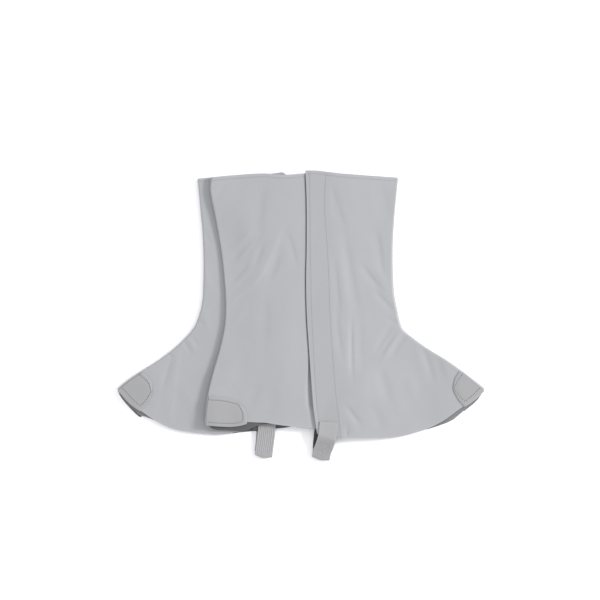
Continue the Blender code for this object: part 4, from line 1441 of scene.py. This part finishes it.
def leather(name, tone, warmth, roughness):
    """Smooth soft leather: fine pebbled grain, cloudy colour, and pale wear along its edges."""
    finish, tree, shader = new_finish(name)
    place = in_space(tree)
    clouds = cloud(tree, place, size=70.0)
    mottle = cloud(tree, place, size=6.0, detail=5.0, roughness=0.6)
    rub = product(tree, wear(tree), ranged(tree, mottle, low=0.3, high=0.7, start=0.2, end=1.0))
    spots = ranged(tree, mottle, low=0.3, high=0.7, start=0.0, end=0.3)
    shade = tones(tree, clouds, tone, first=0.955, second=1.045, warmth=warmth)
    shade = blend(tree, spots, shade, grey(tone * 0.94, warmth + SPOT_WARMTH))
    shade = blend(tree, product(tree, rub, 0.35), shade, grey(tone * 1.4, warmth + SPOT_WARMTH))
    start = roughness - 0.05
    rough = ranged(tree, mottle, low=0.25, high=0.75, start=start, end=roughness + 0.06)
    rough = sum_of(tree, rough, rub, share=0.16)
    pebbles = cells(tree, place, GRAIN, randomness=0.9, feature="SMOOTH_F1")
    pores = cloud(tree, place, size=0.35, detail=2.0)
    grain = sum_of(tree, product(tree, pebbles, 0.6), pores, share=0.35)
    grain = sum_of(tree, grain, cloud(tree, place, size=4.5), share=1.1)
    constants = {"Specular IOR Level": 0.42, "Sheen Weight": 0.08, "Sheen Roughness": 0.4}
    dress(tree, shader, shade, rough, grain, depth=0.06, strength=0.55, constants=constants)
    return finish


def knitted(name, tone, size, depth, roughness, toe_light=None):
    """A knitted or brushed backing with loops of a size. Toe light is how much paler painted light makes
    it towards the toe.
    """
    finish, tree, shader = new_finish(name)
    place = on_cloth(tree)
    loops = cells(tree, place, size, randomness=0.35)
    fuzz = cloud(tree, place, size * FUZZ_SIZE, detail=4.0, roughness=0.7)
    far = ranged(tree, loops, low=0.0, high=0.7, start=0.0, end=0.8)
    spots = ranged(tree, fuzz, low=0.3, high=0.7, start=0.0, end=0.5)
    shade = tones(tree, far, tone, first=1.12, second=0.7)
    shade = blend(tree, spots, shade, grey(tone * 0.85))
    # Painted light: the backing turns paler towards the toe, standing for the light that reaches further
    # inside there
    if toe_light:
        spot = add_node(tree, "NewGeometry", {}).outputs["Position"]
        reach = math_node(tree, "ABSOLUTE", axis_of(tree, spot, "X"))
        near_toe = ranged(tree, reach, TOE_LIGHT_FROM, TOE_LIGHT_TO, start=0.0, end=1.0)
        shade = blend(tree, near_toe, shade, grey(tone * toe_light))
    rough = ranged(tree, fuzz, low=0.2, high=0.8, start=roughness - 0.06, end=roughness)
    heights = sum_of(tree, fuzz, loops, share=-1.4)
    constants = {"Specular IOR Level": 0.2}
    dress(tree, shader, shade, rough, heights, depth, strength=0.8, constants=constants)
    return finish


def woven_tape(name, tone):
    """Smooth woven tape whose lower part has an open, speckled weave."""
    finish, tree, shader = new_finish(name)
    place = on_cloth(tree)
    length = axis_of(tree, place, "Y")
    lower = ranged(tree, length, SPECKLE_START * MM, SPECKLE_FULL * MM, start=0.0, end=1.0)
    weave = product(tree, bands(tree, place, "X", size=0.9), bands(tree, place, "Y", size=0.7))
    speckles = cells(tree, place, SPECKLE, randomness=0.75)
    dots = ranged(tree, speckles, low=0.25, high=0.65, start=0.0, end=1.0)
    mottle = cloud(tree, place, size=3.0, detail=4.0)
    smooth = tones(tree, mottle, tone, first=0.95, second=1.05)
    shade = blend(tree, lower, smooth, tones(tree, dots, tone, first=1.05, second=0.8))
    shade = blend(tree, product(tree, wear(tree), 0.25), shade, grey(tone * 1.25))
    rough = ranged(tree, mottle, low=0.2, high=0.8, start=0.62, end=0.78)
    fine = sum_of(tree, product(tree, weave, 0.35), mottle, share=0.4)
    heights = sum_of(tree, fine, product(tree, lower, dots), share=-1.2)
    constants = {"Specular IOR Level": 0.3, "Sheen Weight": 0.15}
    dress(tree, shader, shade, rough, heights, depth=0.18, strength=0.7, constants=constants)
    return finish


def ribbed_elastic(name, tone):
    """Knitted elastic: chevron stitches along each rib, and painted shade, broken up, along the troughs
    between the ribs.
    """
    finish, tree, shader = new_finish(name)
    place = on_cloth(tree)
    rib = ELASTIC_WIDTH / ELASTIC_RIBS * MM
    across = math_node(tree, "WRAP", axis_of(tree, place, "X"), rib, 0.0)
    off_middle = math_node(tree, "ABSOLUTE", math_node(tree, "SUBTRACT", across, rib / 2.0))
    leaning = sum_of(tree, axis_of(tree, place, "Y"), off_middle, share=0.9)
    chevron_place = add_node(tree, "CombineXYZ", {"X": leaning}).outputs["Vector"]
    chevrons = bands(tree, chevron_place, "X", size=1.2)
    # Painted shade: the colour turns darker along the troughs between the ribs, broken up in patches
    groove = ranged(tree, off_middle, low=0.0, high=rib / 2.0, start=1.0, end=0.0)
    deep = ranged(tree, groove, low=0.0, high=0.4, start=0.9, end=0.0)
    breaks = cloud(tree, place, size=1.6, detail=2.0)
    trough_shade = product(tree, deep, ranged(tree, breaks, low=0.35, high=0.6, start=0.3, end=1.0))
    mottle = cloud(tree, place, size=4.0, detail=4.0)
    spots = ranged(tree, mottle, low=0.3, high=0.7, start=0.0, end=0.2)
    shade = tones(tree, chevrons, tone, first=0.93, second=1.06)
    shade = blend(tree, trough_shade, shade, grey(tone * 0.42))
    shade = blend(tree, spots, shade, grey(tone * 0.88))
    rough = ranged(tree, chevrons, low=0.0, high=1.0, start=0.85, end=0.7)
    heights = sum_of(tree, mottle, chevrons, share=1.6)
    constants = {"Specular IOR Level": 0.2, "Sheen Weight": 0.2}
    dress(tree, shader, shade, rough, heights, depth=0.16, strength=0.8, constants=constants)
    return finish


def cut_edge(name, tone):
    """The slightly fibrous cut edge of the leather."""
    finish, tree, shader = new_finish(name)
    place = in_space(tree)
    fibres = cloud(tree, place, size=0.8, detail=5.0, roughness=0.7)
    spots = ranged(tree, cloud(tree, place, size=9.0), low=0.35, high=0.7, start=0.0, end=0.3)
    shade = tones(tree, fibres, tone, first=0.85, second=1.0)
    shade = blend(tree, spots, shade, grey(tone * 0.75))
    rough = ranged(tree, fibres, low=0.2, high=0.8, start=0.75, end=0.9)
    dress(tree, shader, shade, rough, fibres, depth=0.1, strength=0.5, constants={})
    return finish


def spun_thread(name, tone):
    """Twisted thread with some soiled stretches."""
    finish, tree, shader = new_finish(name)
    place = in_space(tree)
    twist = bands(tree, place, "DIAGONAL", size=0.35)
    soil = ranged(tree, cloud(tree, place, size=12.0), low=0.35, high=0.65, start=0.0, end=0.4)
    shade = tones(tree, twist, tone, first=0.8, second=1.1)
    shade = blend(tree, soil, shade, grey(tone * 0.75))
    rough = ranged(tree, twist, low=0.0, high=1.0, start=0.75, end=0.6)
    dress(tree, shader, shade, rough, twist, depth=0.05, strength=0.6, constants={})
    return finish


def needle_hole(name, tone):
    """Painted shade in a needle hole: a dark, fibrous disc that stands for the shade inside the hole."""
    finish, tree, shader = new_finish(name)
    fibres = cloud(tree, in_space(tree), size=0.4)
    shade = tones(tree, fibres, tone, first=0.7, second=1.3)
    rough = ranged(tree, fibres, low=0.3, high=0.7, start=0.85, end=0.95)
    dress(tree, shader, shade, rough, fibres, depth=0.05, strength=0.4, constants={})
    return finish


def studio_floor(name, tone):
    """Plain matt paper, nearly even."""
    finish, tree, shader = new_finish(name)
    clouds = cloud(tree, in_space(tree), size=900.0)
    shade = tones(tree, clouds, tone, first=0.99, second=1.0)
    tree.links.new(shade, shader.inputs["Base Color"])
    shader.inputs["Roughness"].default_value = 0.9
    shader.inputs["Specular IOR Level"].default_value = 0.1
    return finish


FINISHES = {
    "panel": leather("panel_leather", tone=0.298, warmth=-0.013, roughness=0.5),
    "toe_panel": leather("toe_panel_leather", tone=0.291, warmth=-0.013, roughness=0.5),
    "patch": leather("patch_leather", tone=0.262, warmth=-0.003, roughness=0.56),
    # The backing's toe light is painted light that makes it paler towards the toe
    "backing": knitted("dark_backing", tone=0.1, size=0.9, depth=0.12, roughness=0.95, toe_light=1.9),
    # Painted shade: a near-black cut edge that stands for the shade under the layer above it
    "painted_shade_edge": cut_edge("dark_cut_edge", tone=0.12),
    "edge": cut_edge("cut_edge", tone=0.33),
    "hook": knitted("hook_tape_face", tone=0.28, size=1.1, depth=0.3, roughness=0.85),
    "loop": knitted("loop_tape_face", tone=0.31, size=0.7, depth=0.25, roughness=0.95),
    "tape": woven_tape("strap_tape_weave", tone=0.29),
    "elastic": ribbed_elastic("strap_elastic_knit", tone=0.335),
    # Painted shade: the elastic's back face is near black, standing for the shade under the strap tape's
    # front half
    "elastic_back_shade": knitted("dark_elastic_back", tone=0.06, size=1.3, depth=0.15, roughness=0.9),
    "thread": spun_thread("sewing_thread", tone=0.38),
    # Painted shade: the needle holes' near-black finish stands for the shade inside each hole
    "needle_hole": needle_hole("needle_hole", tone=0.06),
}


def finishes(*names):
    return [FINISHES[name] for name in names]


# Looks: free edges are those of the first and last row, then the first and last column

def even_look(thickness, slot, names, free, bevel=BAND_BEVEL):
    """Return a look with the same bevel and full wear at each free edge, and none at the others."""
    return Look(thickness, slot, finishes(*names), tuple(bevel * share for share in free), free)


def panel_look(face, free):
    """Return the look of a panel of soft leather."""
    return even_look(CLOTH, "panel_leather", (face, "backing", "edge"), free, BEVEL)


ALL_FREE = (1.0, 1.0, 1.0, 1.0)
PANEL_LOOKS = {
    "inner_panel": panel_look("panel", (1.0, 1.0, 0.0, 0.0)),
    "heel_panel": panel_look("panel", (1.0, 1.0, 0.0, 1.0)),
    "toe_panel": panel_look("toe_panel", (1.0, 1.0, 1.0, 0.0)),
}
PATCH_LOOK = Look(
    TRIM,
    "patch_leather",
    finishes("patch", "patch", "edge"),
    (0.0, PATCH_BEVEL, PATCH_BEVEL, BEVEL),
    (0.0, 0.4, 0.4, 1.0),
)
HOOK_LOOK = even_look(TRIM, "closure_tape", ("hook", "hook", "edge"), ALL_FREE)
LOOP_LOOK = even_look(TRIM, "closure_tape", ("loop", "loop", "edge"), ALL_FREE)
TAPE_LOOK = even_look(TRIM, "strap_tape", ("tape", "tape", "tape"), ALL_FREE)
# The elastic's back face carries painted shade
ELASTIC_NAMES = ("elastic", "elastic_back_shade", "elastic")
ELASTIC_LOOK = even_look(TRIM - 2.0 * RIB_RISE, "strap_elastic", ELASTIC_NAMES, ALL_FREE)


# The pair


def make_gaiter(gaiter, tape_stations, elastic_stations):
    """Make one gaiter's pieces and return its panels."""
    name = gaiter.name
    panels = {}
    faces = {}
    for panel in ("inner_panel", "heel_panel", "toe_panel"):
        panels[panel], *faces[panel] = make_panel(gaiter, panel)
    closure_lines = [
        top_line(faces["heel_panel"], SEAM_COLUMNS, FREE_COLUMNS),
        top_line(faces["toe_panel"], FREE_COLUMNS, SEAM_COLUMNS),
    ]
    closure_lines += flap_lines(gaiter, faces["toe_panel"])
    plain_lines = [top_line(faces["inner_panel"], SEAM_COLUMNS, SEAM_COLUMNS)]
    for place, panel, layer_name, lines in (
        ("toe", "toe_panel", "outer", closure_lines),
        ("toe", "inner_panel", "inner", plain_lines),
        ("heel", "heel_panel", "outer", closure_lines),
        ("heel", "inner_panel", "inner", plain_lines),
    ):
        patch, *face = make_patch(gaiter, place, panel, layer_name)
        lines.append(patch_line(face, PATCH_INSETS[place], HEM_INSETS[place]))
    closure_sewing = make_stitches(f"{name}_closure_side_stitches", closure_lines)
    plain_sewing = make_stitches(f"{name}_plain_side_stitches", plain_lines)
    hook = make_closure_tape(gaiter, "hook_tape", "toe_panel", HOOK_LOOK)[0]
    loop = make_closure_tape(gaiter, "loop_tape", "heel_panel", LOOP_LOOK)[0]
    tape = make_strap_tape(gaiter, tape_stations)[0]
    elastic = make_strap_elastic(gaiter, elastic_stations)[0]
    return panels


def add_light(name, place, power, size):
    """Add a soft square light that faces the gaiters."""
    lamp = bpy.data.lights.new(name, "AREA")
    lamp.energy = power
    lamp.size = size
    light = bpy.data.objects.new(name, lamp)
    light.location = place
    light.rotation_euler = (-Vector(place)).to_track_quat("-Z", "Y").to_euler()
    bpy.context.scene.collection.objects.link(light)


def make_stage():
    """Make the floor, the soft studio light and the overhead camera."""
    mesh = bpy.data.meshes.new("floor")
    form = bmesh.new()
    bmesh.ops.create_grid(form, x_segments=2, y_segments=2, size=FLOOR_SIZE)
    form.to_mesh(mesh)
    form.free()
    mesh.materials.append(studio_floor("studio_floor", FLOOR_TONE))
    floor = bpy.data.objects.new("floor", mesh)
    floor.location.z = -FLOOR_GAP
    bpy.context.scene.collection.objects.link(floor)

    world = bpy.data.worlds.new("studio")
    world.use_nodes = True
    world.node_tree.nodes["Background"].inputs["Color"].default_value = (1.0, 1.0, 1.0, 1.0)
    world.node_tree.nodes["Background"].inputs["Strength"].default_value = FILL
    bpy.context.scene.world = world
    bpy.context.scene.view_settings.view_transform = "Standard"

    add_light("key_light", KEY_PLACE, KEY_POWER, KEY_SIZE)
    add_light("rim_light", RIM_PLACE, RIM_POWER, RIM_SIZE)

    lens = bpy.data.cameras.new("camera")
    lens.sensor_width = SENSOR
    lens.lens = SENSOR * (CAMERA_HEIGHT - SEEN_HEIGHT) / SEEN_WIDTH
    lens.clip_end = CAMERA_REACH
    camera = bpy.data.objects.new("camera", lens)
    camera.location = (SEEN_MIDDLE[0], SEEN_MIDDLE[1], CAMERA_HEIGHT)
    bpy.context.scene.collection.objects.link(camera)
    bpy.context.scene.camera = camera


make_stage()
lower = make_gaiter(LOWER, (LOWER_TAPE_SEWN, LOWER_TAPE), (LOWER_ELASTIC_SEWN, LOWER_ELASTIC))
make_gaiter(UPPER, (UPPER_TAPE_SEWN, UPPER_TAPE), (UPPER_ELASTIC_SEWN, UPPER_ELASTIC))
